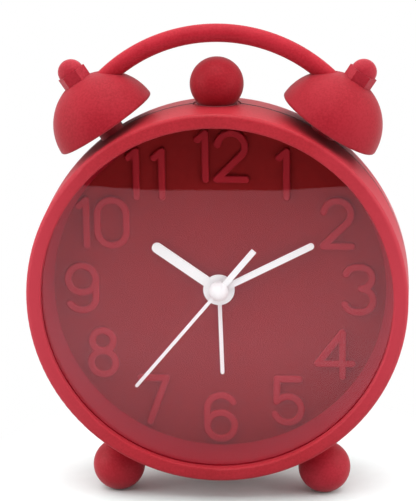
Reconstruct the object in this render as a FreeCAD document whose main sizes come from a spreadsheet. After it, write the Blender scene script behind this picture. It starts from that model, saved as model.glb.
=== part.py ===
import FreeCAD, Part
import math
import os

import Sketcher

# A twin-bell alarm clock with a round case on three ball feet.
# Every piece is drawn in the clock's own frame and then moved to where the clock stands.
# In that frame the dial axis is Y, running into the clock from the front face of the ring,
# Z is up and X is to the right, seen from the front. Lengths are in mm, angles in degrees.

SIZES = {
    # Case. The movement's layers set how deep it is.
    "ring_radius": 46.0,
    "case_flare": 0.3,
    "ring_width": 3.55,
    "ring_edge_round": 1.0,
    "lip_round": 0.6,
    "lip_thickness": 1.6,
    "shell_wall": 2.4,
    "seam_depth": 13.0,
    "seam_gap": 0.15,
    "rear_straight": 3.0,
    "rear_bulge_radius": 32.0,
    "rear_corner_round": 4.5,
    "rear_wall": 2.2,
    "tongue_thickness": 1.4,
    "tongue_length": 2.1,
    "tongue_clearance": 0.15,
    "bead_size": 0.3,
    # Lens, dial ring and dial
    "lens_thickness": 1.5,
    "lens_clearance": 0.12,
    "funnel_run": 1.7,
    "dial_inset": 0.6,
    "dial_thickness": 1.6,
    "dial_margin": 2.0,
    "dial_hole_radius": 2.9,
    "numeral_margin": 0.8,
    "numeral_share": 0.311,
    "numeral_stroke_share": 0.1364,
    "numeral_pitch_share": 0.4735,
    "numeral_relief": 0.9,
    "numeral_root": 0.2,
    "numeral_edge_round": 0.45,
    # Balls under and on top of the case
    "ball_radius": 6.48,
    "foot_angle": 29.3,
    "foot_stand": 6.3,
    "front_foot_inset": 2.0,
    "foot_spacing": 18.0,
    "foot_flat": 0.35,
    "foot_peg_radius": 1.7,
    "foot_peg_length": 5.0,
    "peg_inset": 0.24,
    "seat_clearance": 0.05,
    "button_stand": 4.5,
    "button_hole_radius": 5.75,
    "button_travel": 1.0,
    "button_stem_radius": 1.4,
    "button_stem_offset": 3.3,
    "button_flange_width": 7.0,
    "button_flange_thickness": 1.0,
    "button_spring_length": 4.2,
    "button_spring_wire": 0.4,
    "flange_gap": 0.3,
    # Bells, their posts and nuts, and the handle
    "bell_radius": 13.0,
    "bell_wall": 2.2,
    "bell_angle": 33.2,
    "bell_gap": 2.4,
    "bell_rim_round": 0.7,
    "post_radius": 3.2,
    "stud_radius": 1.4,
    "nut_width": 6.4,
    "nut_hex_height": 3.0,
    "nut_dome_radius": 3.15,
    "handle_rod_radius": 2.2,
    "handle_rise": 11.36,
    "handle_entry_angle": 4.0,
    "handle_end_depth": 2.05,
    # Hands, from the back to the front
    "hand_thickness": 0.4,
    "hand_clearance": 0.25,
    "hand_step": 0.85,
    "alarm_hand_length": 22.0,
    "alarm_hand_width": 0.95,
    "alarm_hub_radius": 3.2,
    "hour_hand_length": 19.6,
    "hour_hand_width": 2.6,
    "hour_hub_radius": 3.85,
    "minute_hand_length": 26.0,
    "minute_hand_width": 1.6,
    "minute_hub_radius": 2.3,
    "second_hand_length": 32.3,
    "second_hand_width": 0.8,
    "second_tail_length": 13.6,
    "second_tail_width": 1.45,
    "cap_radius": 2.4,
    "cap_height": 1.4,
    "alarm_hand_angle": 178.6,
    "hour_hand_angle": 305.3,
    "minute_hand_angle": 63.2,
    "second_hand_angle": 220.2,
    # Movement
    "running_clearance": 0.07,
    "second_arbor_radius": 0.5,
    "cannon_pipe_radius": 1.17,
    "hour_pipe_radius": 1.92,
    "alarm_pipe_radius": 2.6,
    "gear_module": 0.4,
    "fine_module": 0.2,
    "movement_half_width": 25.0,
    "movement_top": 27.2,
    "movement_low": 10.8,
    "movement_plate": 1.4,
    "movement_wall": 1.4,
    "movement_corner_round": 2.5,
    "wheel_thickness": 0.9,
    "fine_wheel_thickness": 0.7,
    "wheel_gap": 0.5,
    "bridge_gap": 1.0,
    "bridge_thickness": 1.0,
    "seconds_gap": 0.4,
    "knob_shaft_radius": 1.1,
    "knob_shaft_height": 4.0,
    "thin_shaft_radius": 0.8,
    "arbor_radius": 0.4,
    "arbor_seat": 0.5,
    "magnet_radius": 1.52,
    "magnet_length": 1.5,
    "magnet_gap": 0.4,
    "blade_gap": 0.6,
    "blade_end_width": 2.0,
    "blade_half_height": 3.0,
    "core_half_height": 0.7,
    "coil_radius": 1.8,
    "coil_length": 18.0,
    "coil_height": 20.0,
    "coil_clearance": 0.1,
    "board_thickness": 1.0,
    "board_inset": 4.0,
    "chip_radius": 2.6,
    "chip_thickness": 0.9,
    "crystal_radius": 1.0,
    "crystal_length": 6.0,
    # Snooze switch on top of the movement
    "switch_board_half_width": 8.0,
    "switch_board_thickness": 1.2,
    "snooze_switch_width": 6.0,
    "snooze_switch_height": 3.2,
    "plunger_radius": 1.2,
    "plunger_height": 1.6,
    # Knobs and alarm switch on the back
    "knob_radius": 5.2,
    "knob_thickness": 1.7,
    "knob_gap": 0.4,
    "knob_groove_radius": 0.45,
    "switch_room": 5.9,
    "switch_height": 24.0,
    "switch_travel": 4.0,
    "switch_knob_length": 7.0,
    "switch_knob_height": 3.6,
    "switch_knob_thickness": 1.4,
    "switch_knob_gap": 0.15,
    "switch_stem_width": 3.0,
    "switch_stem_height": 2.0,
    "switch_flange_length": 9.0,
    "switch_flange_height": 5.2,
    "switch_flange_thickness": 0.95,
    "switch_nub_radius": 0.7,
    "slide_case_length": 10.0,
    "slide_case_height": 4.4,
    "slide_floor": 1.4,
    # Battery, its bay and door
    "battery_radius": 7.1,
    "battery_length": 49.0,
    "battery_nub_length": 1.3,
    "battery_nub_share": 0.38,
    "battery_slack": 0.6,
    "contact_thickness": 0.4,
    "contact_inset": 1.2,
    "bay_side_room": 0.5,
    "bay_end_room": 2.5,
    "bay_wall": 0.8,
    "door_side_lap": 0.6,
    "door_end_inset": 0.8,
    "door_corner_round": 4.0,
    "door_thickness": 1.4,
    "door_gap": 0.1,
    "door_ledge": 1.0,
    "door_ridge_width": 0.8,
    "door_ridge_pitch": 1.6,
    "door_ridge_depth": 0.5,
    # Screws and buzzer
    "screw_inset": 7.6,
    "screw_angle": 19.2,
    "screw_radius": 1.1,
    "screw_head_radius": 2.0,
    "screw_head_height": 1.5,
    "screw_slot_width": 0.5,
    "screw_slot_depth": 0.6,
    "screw_sink": 6.5,
    "screw_bite": 6.0,
    "boss_radius": 3.2,
    "dial_post_radius": 2.4,
    "dial_post_length": 8.0,
    "buzzer_x": 19.0,
    "buzzer_z": 15.0,
    "buzzer_radius": 9.0,
    "buzzer_thickness": 1.7,
    "sound_hole_radius": 0.8,
    "sound_hole_pitch": 3.2,
    # How far a cutting tool runs past the face that it opens
    "tool_overrun": 1.0,
}


class Size:
    """A length or an angle: its number, and the formula that gives it from the sheet."""

    def __init__(self, value, formula):
        self.value = value
        self.formula = formula

    def __add__(self, other):
        other = as_size(other)
        return Size(self.value + other.value, f"({self.formula} + {other.formula})")

    def __sub__(self, other):
        other = as_size(other)
        return Size(self.value - other.value, f"({self.formula} - {other.formula})")

    def __mul__(self, other):
        other = as_size(other)
        return Size(self.value * other.value, f"({self.formula} * {other.formula})")

    def __truediv__(self, other):
        other = as_size(other)
        return Size(self.value / other.value, f"({self.formula} / {other.formula})")

    def __neg__(self):
        return Size(-self.value, f"(-1 * {self.formula})")

    def __radd__(self, other):
        return as_size(other) + self

    def __rsub__(self, other):
        return as_size(other) - self

    def __rmul__(self, other):
        return as_size(other) * self


def as_size(number):
    return number if isinstance(number, Size) else Size(float(number), repr(float(number)))


def sine(angle):
    return Size(math.sin(math.radians(angle.value)), f"sin({angle.formula})")


def cosine(angle):
    return Size(math.cos(math.radians(angle.value)), f"cos({angle.formula})")


def root(square):
    return Size(math.sqrt(square.value), f"sqrt({square.formula})")


doc = FreeCAD.newDocument("alarm_clock")
sheet = doc.addObject("Spreadsheet::Sheet", "Sizes")
for row, (alias, number) in enumerate(SIZES.items(), start=1):
    sheet.set(f"A{row}", alias)
    sheet.set(f"B{row}", str(number))
    sheet.setAlias(f"B{row}", alias)
doc.recompute()


worked_out = {}


def size(alias):
    """The size with this name, from the sheet or worked out from sizes in it."""
    if alias in worked_out:
        return worked_out[alias]
    return Size(float(SIZES[alias]), f"Sizes.{alias}")


ZERO = as_size(0.0)
Y_AXIS = FreeCAD.Vector(0, 1, 0)
X_AXIS = FreeCAD.Vector(1, 0, 0)
ALONG_Y = FreeCAD.Rotation(X_AXIS, -90)
ALONG_X = FreeCAD.Rotation(Y_AXIS, 90)

# Radii that follow the ring
case_radius = size("ring_radius") + size("case_flare")
inner_case_radius = case_radius - size("rear_wall")
worked_out["ring_opening_radius"] = size("ring_radius") - size("ring_width")
worked_out["shell_bore_radius"] = size("ring_radius") - size("shell_wall")
worked_out["funnel_end_radius"] = size("ring_opening_radius") - size("funnel_run")
worked_out["dial_radius"] = size("shell_bore_radius") - size("dial_margin")
worked_out["numeral_height"] = size("ring_opening_radius") * size("numeral_share")
worked_out["numeral_stroke"] = size("numeral_height") * size("numeral_stroke_share")
worked_out["numeral_pitch"] = size("numeral_height") * size("numeral_pitch_share")
worked_out["numeral_circle_radius"] = (size("funnel_end_radius") - size("numeral_height") / 2
                                       - size("numeral_margin"))
worked_out["foot_reach"] = case_radius + size("foot_stand")
worked_out["button_reach"] = case_radius + size("button_stand")
worked_out["bell_reach"] = case_radius + size("bell_gap")
worked_out["screw_x"] = (inner_case_radius - size("screw_inset")) * cosine(size("screw_angle"))
worked_out["screw_z"] = (inner_case_radius - size("screw_inset")) * sine(size("screw_angle"))

# The handle's arc goes through its two ends, inside the bells' walls, and its top
handle_end = size("bell_radius") - size("handle_end_depth")
handle_end_x = size("bell_reach") * sine(size("bell_angle")) + handle_end * sine(size("handle_entry_angle"))
handle_end_z = (size("bell_reach") * cosine(size("bell_angle"))
                + handle_end * cosine(size("handle_entry_angle")))
worked_out["handle_radius"] = (handle_end_x * handle_end_x / size("handle_rise") + size("handle_rise")) / 2
handle_centre_height = handle_end_z + size("handle_rise") - size("handle_radius")

# Depths that follow the seam between the shells
worked_out["dial_depth"] = size("seam_depth") - size("dial_inset")
worked_out["front_foot_depth"] = size("seam_depth") - size("front_foot_inset")
worked_out["rear_foot_depth"] = size("front_foot_depth") + size("foot_spacing")

# Layers behind the lens, from the dial back
lens_back = size("lip_thickness") + size("lens_thickness")
lens_radius = size("shell_bore_radius") - size("lens_clearance")
dial_back = size("dial_depth") + size("dial_thickness")
movement_front = dial_back
movement_inside = movement_front + size("movement_plate")
worked_out["alarm_hand_depth"] = size("dial_depth") - size("hand_thickness") - size("hand_clearance")
worked_out["hour_hand_depth"] = size("alarm_hand_depth") - size("hand_step")
worked_out["minute_hand_depth"] = size("hour_hand_depth") - size("hand_step")
worked_out["second_hand_depth"] = size("minute_hand_depth") - size("hand_step")
wheel_pitch = size("wheel_thickness") + size("wheel_gap")
worked_out["alarm_wheel_depth"] = movement_inside + size("wheel_gap")
worked_out["hour_wheel_depth"] = size("alarm_wheel_depth") + wheel_pitch
worked_out["cannon_depth"] = size("hour_wheel_depth") + wheel_pitch
worked_out["bridge_depth"] = size("cannon_depth") + size("wheel_thickness") + size("bridge_gap")
worked_out["seconds_wheel_depth"] = size("bridge_depth") + size("bridge_thickness") + size("seconds_gap")
worked_out["third_wheel_depth"] = size("seconds_wheel_depth") + size("fine_wheel_thickness") * 2
blade_start = size("third_wheel_depth") + size("fine_wheel_thickness") + size("blade_gap")
inner_back = blade_start + size("wheel_thickness") / 2 + size("coil_radius") + size("coil_clearance")
movement_back = inner_back + size("movement_wall")
rear_inside = movement_back + size("switch_room")
worked_out["case_depth"] = rear_inside + size("rear_wall")
worked_out["screw_seat_depth"] = size("case_depth") - size("screw_sink")
worked_out["boss_meeting_depth"] = dial_back + size("dial_post_length")

# The battery bay under the movement
worked_out["bay_half_height"] = size("battery_radius") + size("bay_side_room")
worked_out["bay_half_length"] = size("battery_length") / 2 + size("bay_end_room")
worked_out["door_half_height"] = size("bay_half_height") + size("door_side_lap")
worked_out["door_half_length"] = size("bay_half_length") - size("door_end_inset")
worked_out["movement_bottom"] = -size("movement_low")
worked_out["battery_height"] = (size("movement_bottom") - size("bay_half_height") - size("bay_wall")
                                - size("flange_gap") * 2)
worked_out["battery_depth"] = rear_inside - size("battery_radius") - size("battery_slack")

# The clock stands with the flats of its feet at height zero, and the middle of its depth at Y zero.
knob_end = size("case_depth") + size("knob_gap") + size("knob_thickness")
foot_height = size("foot_reach") * cosine(size("foot_angle"))
dial_axis_height = foot_height + size("ball_radius") - size("foot_flat")
front_face_y = -(knob_end / 2)

nodes = []


def bind(thing, **formulas):
    """Sets properties of an object to sizes, by formula."""
    for name, length in formulas.items():
        thing.setExpression(name, as_size(length).formula)


def put(thing, x, y, z):
    """Places an object at a point that the sheet gives."""
    for axis, length in zip("xyz", (x, y, z)):
        thing.setExpression(f"Placement.Base.{axis}", as_size(length).formula)


def in_clock(label, thing, turn=None):
    """Names a finished piece, moves it into the standing clock and keeps it for the hand-over."""
    if not thing.TypeId.startswith(("PartDesign::", "Part::Cut", "Part::MultiFuse", "Part::MultiCommon")):
        whole = doc.addObject("Part::Compound", "whole")
        whole.Links = [thing]
        thing = whole
    thing.Label = label
    if turn is not None:
        thing.Placement = FreeCAD.Placement(FreeCAD.Vector(), FreeCAD.Rotation(Y_AXIS, turn.value))
        thing.setExpression("Placement.Rotation.Angle", turn.formula)
    put(thing, 0, front_face_y, dial_axis_height)
    nodes.append(thing)
    return thing


def rod(radius, start, length, x=0, z=0):
    """A round bar that runs back from a depth, parallel with the dial axis."""
    bar = doc.addObject("Part::Cylinder", "rod")
    bar.Placement = FreeCAD.Placement(FreeCAD.Vector(), ALONG_Y)
    bind(bar, Radius=radius, Height=length)
    put(bar, x, start, z)
    return bar


def spoke(radius, inner, outer, angle, depth):
    """A round bar that runs out from the dial axis at an angle clockwise from the top."""
    bar = doc.addObject("Part::Cylinder", "spoke")
    bar.Placement = FreeCAD.Placement(FreeCAD.Vector(), FreeCAD.Rotation(Y_AXIS, 1))
    bar.setExpression("Placement.Rotation.Angle", angle.formula)
    bind(bar, Radius=radius, Height=outer - inner)
    put(bar, inner * sine(angle), depth, inner * cosine(angle))
    return bar


def upright(radius, bottom, top, x, y):
    """A round bar along Z."""
    bar = doc.addObject("Part::Cylinder", "upright")
    bind(bar, Radius=radius, Height=top - bottom)
    put(bar, x, y, bottom)
    return bar


def block(x_low, x_high, y_low, y_high, z_low, z_high):
    """A square-edged block between two corners."""
    box = doc.addObject("Part::Box", "block")
    bind(box, Length=x_high - x_low, Width=y_high - y_low, Height=z_high - z_low)
    put(box, x_low, y_low, z_low)
    return box


def joined(things):
    """One solid out of several."""
    whole = doc.addObject("Part::MultiFuse", "joined")
    whole.Shapes = things
    whole.Refine = True
    return whole


def without(thing, tools):
    """A solid with the tools cut out of it."""
    rest = doc.addObject("Part::Cut", "cut")
    rest.Base = thing
    rest.Tool = tools[0] if len(tools) == 1 else joined(tools)
    rest.Refine = True
    return rest


def new_body(name):
    return doc.addObject("PartDesign::Body", name)


def plane_of(body, role):
    return next(feature for feature in body.Origin.OriginFeatures if feature.Role == role)


def pinned(sketch, edge, end, point):
    """Holds one end of an edge at a point whose lengths come from the sheet."""
    for kind, length in zip(("DistanceX", "DistanceY"), point):
        if length.formula is None:
            continue
        index = sketch.addConstraint(Sketcher.Constraint(kind, edge, end, length.value))
        sketch.setExpression(f"Constraints[{index}]", length.formula)


def free(value):
    """A first guess for a length that the rest of the outline settles."""
    return Size(value, None)


def flat_vector(point):
    return FreeCAD.Vector(point[0].value, point[1].value, 0)


def outline(body, role, corners, arcs=None, depth=None):
    """A closed outline on a plane of a body. arcs gives the centre of each edge that is an arc,
    keyed by the number of its first corner, and the arc runs anticlockwise."""
    arcs = arcs or {}
    corners = [tuple(length if isinstance(length, Size) else as_size(length) for length in corner)
               for corner in corners]
    sketch = body.newObject("Sketcher::SketchObject", "outline")
    sketch.AttachmentSupport = [(plane_of(body, role), "")]
    sketch.MapMode = "FlatFace"
    if depth is not None:
        sketch.setExpression("AttachmentOffset.Base.z", (-depth).formula)
    count = len(corners)
    for number, corner in enumerate(corners):
        following = corners[(number + 1) % count]
        start, end = flat_vector(corner), flat_vector(following)
        if number not in arcs:
            sketch.addGeometry(Part.LineSegment(start, end))
            continue
        centre = tuple(as_size(length) for length in arcs[number])
        middle = flat_vector(centre)
        angles = [math.atan2(point.y - middle.y, point.x - middle.x) for point in (start, end)]
        ring = Part.Circle(middle, FreeCAD.Vector(0, 0, 1), (start - middle).Length)
        sketch.addGeometry(Part.ArcOfCircle(ring, *angles))
    for number in range(count):
        following = (number + 1) % count
        sketch.addConstraint(Sketcher.Constraint("Coincident", number, 2, following, 1))
    for number, corner in enumerate(corners):
        pinned(sketch, number, 1, corner)
    for number, centre in arcs.items():
        pinned(sketch, number, 3, tuple(as_size(length) for length in centre))
    return sketch


def circle_on(body, role, radius, x=0, z=0, depth=None):
    """A circle on a plane of a body."""
    x, z, radius = as_size(x), as_size(z), as_size(radius)
    sketch = body.newObject("Sketcher::SketchObject", "circle")
    sketch.AttachmentSupport = [(plane_of(body, role), "")]
    sketch.MapMode = "FlatFace"
    if depth is not None:
        sketch.setExpression("AttachmentOffset.Base.z", (-depth).formula)
    middle = FreeCAD.Vector(x.value, z.value, 0)
    sketch.addGeometry(Part.Circle(middle, FreeCAD.Vector(0, 0, 1), radius.value))
    pinned(sketch, 0, 3, (x, z))
    index = sketch.addConstraint(Sketcher.Constraint("Radius", 0, radius.value))
    sketch.setExpression(f"Constraints[{index}]", radius.formula)
    return sketch


def turned(body, sketch, cut=False):
    """A full turn of an outline about the upright axis of its sketch, added or cut away."""
    kind = "PartDesign::Groove" if cut else "PartDesign::Revolution"
    feature = body.newObject(kind, "turn")
    feature.Profile = sketch
    feature.ReferenceAxis = (sketch, ["V_Axis"])
    feature.Angle = 360
    return feature


def raised(body, sketch, thickness, back=True):
    """A pad of an outline. On the XZ plane it grows into the clock."""
    feature = body.newObject("PartDesign::Pad", "pad")
    feature.Profile = sketch
    bind(feature, Length=thickness)
    feature.Reversed = back
    return feature


def sunk(body, sketch, depth_of_cut):
    """A pocket that goes into the clock from an outline on the XZ plane."""
    feature = body.newObject("PartDesign::Pocket", "pocket")
    feature.Profile = sketch
    bind(feature, Length=depth_of_cut)
    return feature


def rounded(body, base, radius, wanted):
    """A fillet on the edges of a feature for which wanted(edge) is true."""
    doc.recompute()
    names = [f"Edge{number}" for number, edge in enumerate(base.Shape.Edges, start=1) if wanted(edge)]
    feature = body.newObject("PartDesign::Fillet", "fillet")
    feature.Base = (base, names)
    bind(feature, Radius=radius)
    return feature


def hoop(radius, depth):
    """True for the circular edge of that radius about the dial axis at that depth."""
    def test(edge):
        curve = edge.Curve
        if not isinstance(curve, Part.Circle):
            return False
        return abs(curve.Radius - radius.value) < 0.02 and abs(curve.Center.y - depth.value) < 0.02
    return test


def along(direction):
    """True for a straight edge with that direction."""
    def test(edge):
        if not isinstance(edge.Curve, Part.Line):
            return False
        return abs(abs(edge.Curve.Direction.dot(direction)) - 1) < 0.001
    return test


def rectangle(body, half_width, z_low, z_high, depth):
    corners = [(-half_width, z_low), (half_width, z_low), (half_width, z_high), (-half_width, z_high)]
    return outline(body, "XZ_Plane", corners, depth=depth)


# Places that several pieces share
rear_curve_start = size("seam_depth") + size("rear_straight")
rear_curve_centre = case_radius - size("rear_bulge_radius")
tongue_radius = size("shell_bore_radius") - size("tongue_clearance")
tongue_start = size("seam_depth") - size("tongue_length")
foot_x = size("foot_reach") * sine(size("foot_angle"))
beyond = size("tool_overrun")
module = size("gear_module")

CANNON_TEETH = 10
MINUTE_WHEEL_TEETH = 30
MINUTE_PINION_TEETH = 8
HOUR_WHEEL_TEETH = 32
ALARM_WHEEL_TEETH = 32
ALARM_PINION_TEETH = 16
SECONDS_WHEEL_TEETH = 60
THIRD_WHEEL_TEETH = 50
FINE_PINION_TEETH = 10
DOOR_RIDGES = 5
KNOB_GROOVES = 16
SPRING_TURNS = 4

# Two heights closer than this are one
FACE_MATCH = 1e-6

# How far some hour numbers stand off their place on the circle, as a share of their height
NUMERAL_SHIFTS = {3: 0.06, 8: -0.02, 9: -0.038, 10: -0.023, 12: 0.015}

time_shaft_reach = module * ((CANNON_TEETH + MINUTE_WHEEL_TEETH) / 2)
alarm_shaft_reach = module * ((ALARM_WHEEL_TEETH + ALARM_PINION_TEETH) / 2)
shaft_z = size("knob_shaft_height")
time_shaft_x = root(time_shaft_reach * time_shaft_reach - shaft_z * shaft_z)
alarm_shaft_x = -root(alarm_shaft_reach * alarm_shaft_reach - shaft_z * shaft_z)
third_z = size("fine_module") * ((SECONDS_WHEEL_TEETH + FINE_PINION_TEETH) / 2)
rotor_z = third_z + size("fine_module") * ((THIRD_WHEEL_TEETH + FINE_PINION_TEETH) / 2)


# Front shell: the ring round the dial and the front part of the side wall, moulded in one
def make_front_shell():
    body = new_body("front_shell_body")
    lip = size("lip_thickness")
    groove_start = tongue_start + size("bead_size") * 2
    groove_radius = size("shell_bore_radius") + size("bead_size")
    end = size("seam_depth") - size("seam_gap")
    bore = size("shell_bore_radius")
    section = [
        (size("ring_opening_radius"), 0), (size("ring_radius"), 0), (case_radius, end), (bore, end),
        (bore, groove_start + size("bead_size") * 3), (groove_radius, groove_start + size("bead_size") * 2),
        (groove_radius, groove_start), (bore, groove_start - size("bead_size")), (bore, lip),
        (size("ring_opening_radius"), lip),
    ]
    ring = turned(body, outline(body, "XY_Plane", section))
    outer = rounded(body, ring, size("ring_edge_round"), hoop(size("ring_radius"), ZERO))
    rounded(body, outer, size("lip_round"), hoop(size("ring_opening_radius"), ZERO))
    holes = [button_hole(), foot_hole(1), foot_hole(-1), post_hole(1), post_hole(-1)]
    in_clock("front_shell", without(body, holes))


def button_hole():
    return upright(size("button_hole_radius"), size("funnel_end_radius"), size("button_reach"), 0,
                   size("seam_depth"))


def post_hole(side):
    return spoke(size("post_radius") + size("seat_clearance"), size("shell_bore_radius") - beyond,
                 size("bell_reach"), size("bell_angle") * side, size("seam_depth"))


def foot_hole(side):
    radius = size("foot_peg_radius") + size("seat_clearance")
    angle = 180 - size("foot_angle") * side
    return spoke(radius, size("shell_bore_radius") - beyond, size("foot_reach"), angle,
                 size("front_foot_depth"))


# Rear cover: the domed back of the case, with the battery bay, screw posts and switch openings
def cover_section(radius, curve_radius, back):
    """Half the cover's section, out to a radius and back to a depth."""
    reach = math.sqrt(curve_radius.value ** 2 - (back.value - rear_curve_start.value) ** 2)
    front = size("seam_depth")
    corners = [(0, front), (radius, front), (radius, rear_curve_start),
               (free(rear_curve_centre.value + reach), back), (0, back)]
    return corners, {2: (rear_curve_centre, rear_curve_start)}


def make_rear_cover():
    body = new_body("rear_cover_body")
    bulge = size("rear_bulge_radius")
    corners, arcs = cover_section(case_radius, bulge, size("case_depth"))
    solid = turned(body, outline(body, "XY_Plane", corners, arcs))
    edge_reach = math.sqrt(bulge.value ** 2 - (size("case_depth").value - rear_curve_start.value) ** 2)
    edge_radius = rear_curve_centre + edge_reach
    rounded(body, solid, size("rear_corner_round"), hoop(edge_radius, size("case_depth")))
    corners, arcs = cover_section(inner_case_radius, bulge - size("rear_wall"), rear_inside)
    turned(body, outline(body, "XY_Plane", corners, arcs), cut=True)

    bead = size("bead_size")
    bead_start = tongue_start + bead * 2
    seam_end = size("seam_depth") + bead
    tongue_inside = tongue_radius - size("tongue_thickness")
    tongue_corners = [
        (tongue_inside, tongue_start), (tongue_radius, tongue_start), (tongue_radius, bead_start),
        (tongue_radius + bead, bead_start + bead / 2), (tongue_radius + bead, bead_start + bead * 3 / 2),
        (tongue_radius, bead_start + bead * 2), (tongue_radius, seam_end),
        (inner_case_radius + bead, seam_end), (inner_case_radius + bead, seam_end + bead * 4),
        (tongue_inside, seam_end),
    ]
    turned(body, outline(body, "XY_Plane", tongue_corners))

    bay_outer = size("bay_half_length") + size("bay_wall")
    bay_inner_low = size("battery_height") - size("bay_half_height")
    bay_inner_high = size("battery_height") + size("bay_half_height")
    bay_floor = size("battery_depth") - size("battery_radius") - size("seat_clearance")
    bay = block(-bay_outer, bay_outer, bay_floor - size("bay_wall"), rear_inside + size("seam_gap"),
                bay_inner_low - size("bay_wall"), bay_inner_high + size("bay_wall"))
    boss_top = rear_inside + size("seam_gap")
    additions = [body, bay]
    for x in (size("screw_x"), -size("screw_x")):
        for z in (size("screw_z"), -size("screw_z")):
            start = size("boss_meeting_depth")
            additions.append(rod(size("boss_radius"), start, boss_top - start, x, z))
    shelf_top = shelf_height()
    shelf_half = size("button_flange_width") * 0.7
    additions.append(block(-shelf_half, shelf_half, dial_back + size("flange_gap"), boss_top,
                           shelf_top - size("button_flange_thickness"), shelf_top))
    buzzer_wall = size("bay_wall")
    additions.append(rod(size("buzzer_radius") + size("seat_clearance") + buzzer_wall,
                         rear_inside - size("buzzer_thickness") - buzzer_wall,
                         size("buzzer_thickness") + buzzer_wall + size("seam_gap"),
                         size("buzzer_x"), size("buzzer_z")))

    ledge = size("door_ledge")
    opening_half = size("door_half_height") - ledge
    door_front = size("case_depth") - size("door_thickness")
    past = size("knob_gap")
    tools = [
        block(-size("bay_half_length"), size("bay_half_length"), bay_floor, rear_inside,
              bay_inner_low, bay_inner_high),
        block(ledge - size("door_half_length"), size("door_half_length") - ledge,
              rear_inside - past, size("case_depth") + past,
              size("battery_height") - opening_half, size("battery_height") + opening_half),
        door_plate(size("door_gap"), door_front, size("door_thickness") + past),
        rod(size("buzzer_radius") + size("seat_clearance"), rear_inside - size("buzzer_thickness") - beyond,
            size("buzzer_thickness") + beyond, size("buzzer_x"), size("buzzer_z")),
        upright(size("button_stem_radius") + size("flange_gap"),
                shelf_top - size("button_flange_thickness") - beyond, shelf_top + beyond, 0,
                button_stem_y()),
        button_hole(), post_hole(1), post_hole(-1), rear_foot_hole(),
        switch_slot(),
    ]
    for x in (time_shaft_x, alarm_shaft_x):
        tools.append(rod(size("knob_shaft_radius") + size("running_clearance"), rear_inside - beyond,
                         size("rear_wall") + beyond * 2, x, shaft_z))
    for x in (size("screw_x"), -size("screw_x")):
        for z in (size("screw_z"), -size("screw_z")):
            tools.append(rod(size("screw_radius") + size("seat_clearance"),
                             size("boss_meeting_depth") - beyond, size("case_depth"), x, z))
            tools.append(rod(size("screw_head_radius") + size("flange_gap"), size("screw_seat_depth"),
                             size("case_depth"), x, z))
    for x, z in sound_holes():
        tools.append(rod(size("sound_hole_radius"), rear_inside - beyond,
                         size("rear_wall") + beyond * 2, x, z))
    notch = size("button_hole_radius") + beyond
    tools.append(block(-notch, notch, tongue_start - beyond, size("seam_depth"),
                       size("funnel_end_radius"), case_radius))
    in_clock("rear_cover", without(joined(additions), tools))


def button_stem_y():
    return size("seam_depth") + size("button_stem_offset")


def button_flange_top():
    return inner_case_radius - size("flange_gap") * 2


def shelf_height():
    return button_flange_top() - size("button_flange_thickness") - size("button_spring_length")


def plunger_top():
    """The top of the small switch that the button's stem presses."""
    return (size("movement_top") + size("switch_board_thickness") + size("snooze_switch_height")
            + size("plunger_height"))


def rear_foot_hole():
    radius = size("foot_peg_radius") + size("seat_clearance")
    return upright(radius, -foot_height, -foot_height + size("ball_radius") * 2, 0, size("rear_foot_depth"))


def switch_slot():
    half = (size("switch_travel") + size("switch_stem_width")) / 2 + size("flange_gap")
    tall = size("switch_stem_height") / 2 + size("flange_gap")
    return block(-half, half, rear_inside - beyond, size("case_depth") + beyond,
                 size("switch_height") - tall, size("switch_height") + tall)


def sound_holes():
    """Seven holes: one in the middle and six round it."""
    holes = [(size("buzzer_x"), size("buzzer_z"))]
    for number in range(6):
        turn = as_size(60.0 * number)
        holes.append((size("buzzer_x") + size("sound_hole_pitch") * cosine(turn),
                      size("buzzer_z") + size("sound_hole_pitch") * sine(turn)))
    return holes


def door_plate(growth, start, thickness):
    """The battery door's outline with rounded corners, grown by a gap all round."""
    body = new_body("door_outline")
    half = size("door_half_height") + growth
    plate = raised(body, rectangle(body, size("door_half_length") + growth,
                                   size("battery_height") - half, size("battery_height") + half, start),
                   thickness)
    rounded(body, plate, size("door_corner_round"), along(Y_AXIS))
    return body


def make_battery_door():
    door_front = size("case_depth") - size("door_thickness")
    plate = door_plate(ZERO, door_front, size("door_thickness"))
    inset = size("door_ledge") + size("door_gap") * 2
    rim = block(inset - size("door_half_length"), size("door_half_length") - inset,
                door_front - size("bay_wall"), door_front,
                size("battery_height") - size("door_half_height") + inset,
                size("battery_height") + size("door_half_height") - inset)
    grip = size("door_half_height") / 2
    ridges = []
    half_ridge = size("door_ridge_width") / 2
    for number in range(DOOR_RIDGES):
        x = size("door_ridge_pitch") * (number - (DOOR_RIDGES - 1) / 2)
        ridges.append(block(x - half_ridge, x + half_ridge, size("case_depth") - size("door_ridge_depth"),
                            size("case_depth") + beyond,
                            size("battery_height") - grip, size("battery_height") + grip))
    in_clock("battery_door", without(joined([plate, rim]), ridges))


# Lens: a clear disc that sits behind the lip of the ring
def make_lens():
    body = new_body("lens_body")
    start = size("lip_thickness")
    disc = turned(body, outline(body, "XY_Plane", [(0, start), (lens_radius, start),
                                                   (lens_radius, lens_back), (0, lens_back)]))
    edge = body.newObject("PartDesign::Chamfer", "chamfer")
    doc.recompute()
    names = [f"Edge{number}" for number, found in enumerate(disc.Shape.Edges, start=1)
             if hoop(lens_radius, start)(found)]
    edge.Base = (disc, names)
    bind(edge, Size=size("lip_round") / 2)
    in_clock("lens", body)


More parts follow.
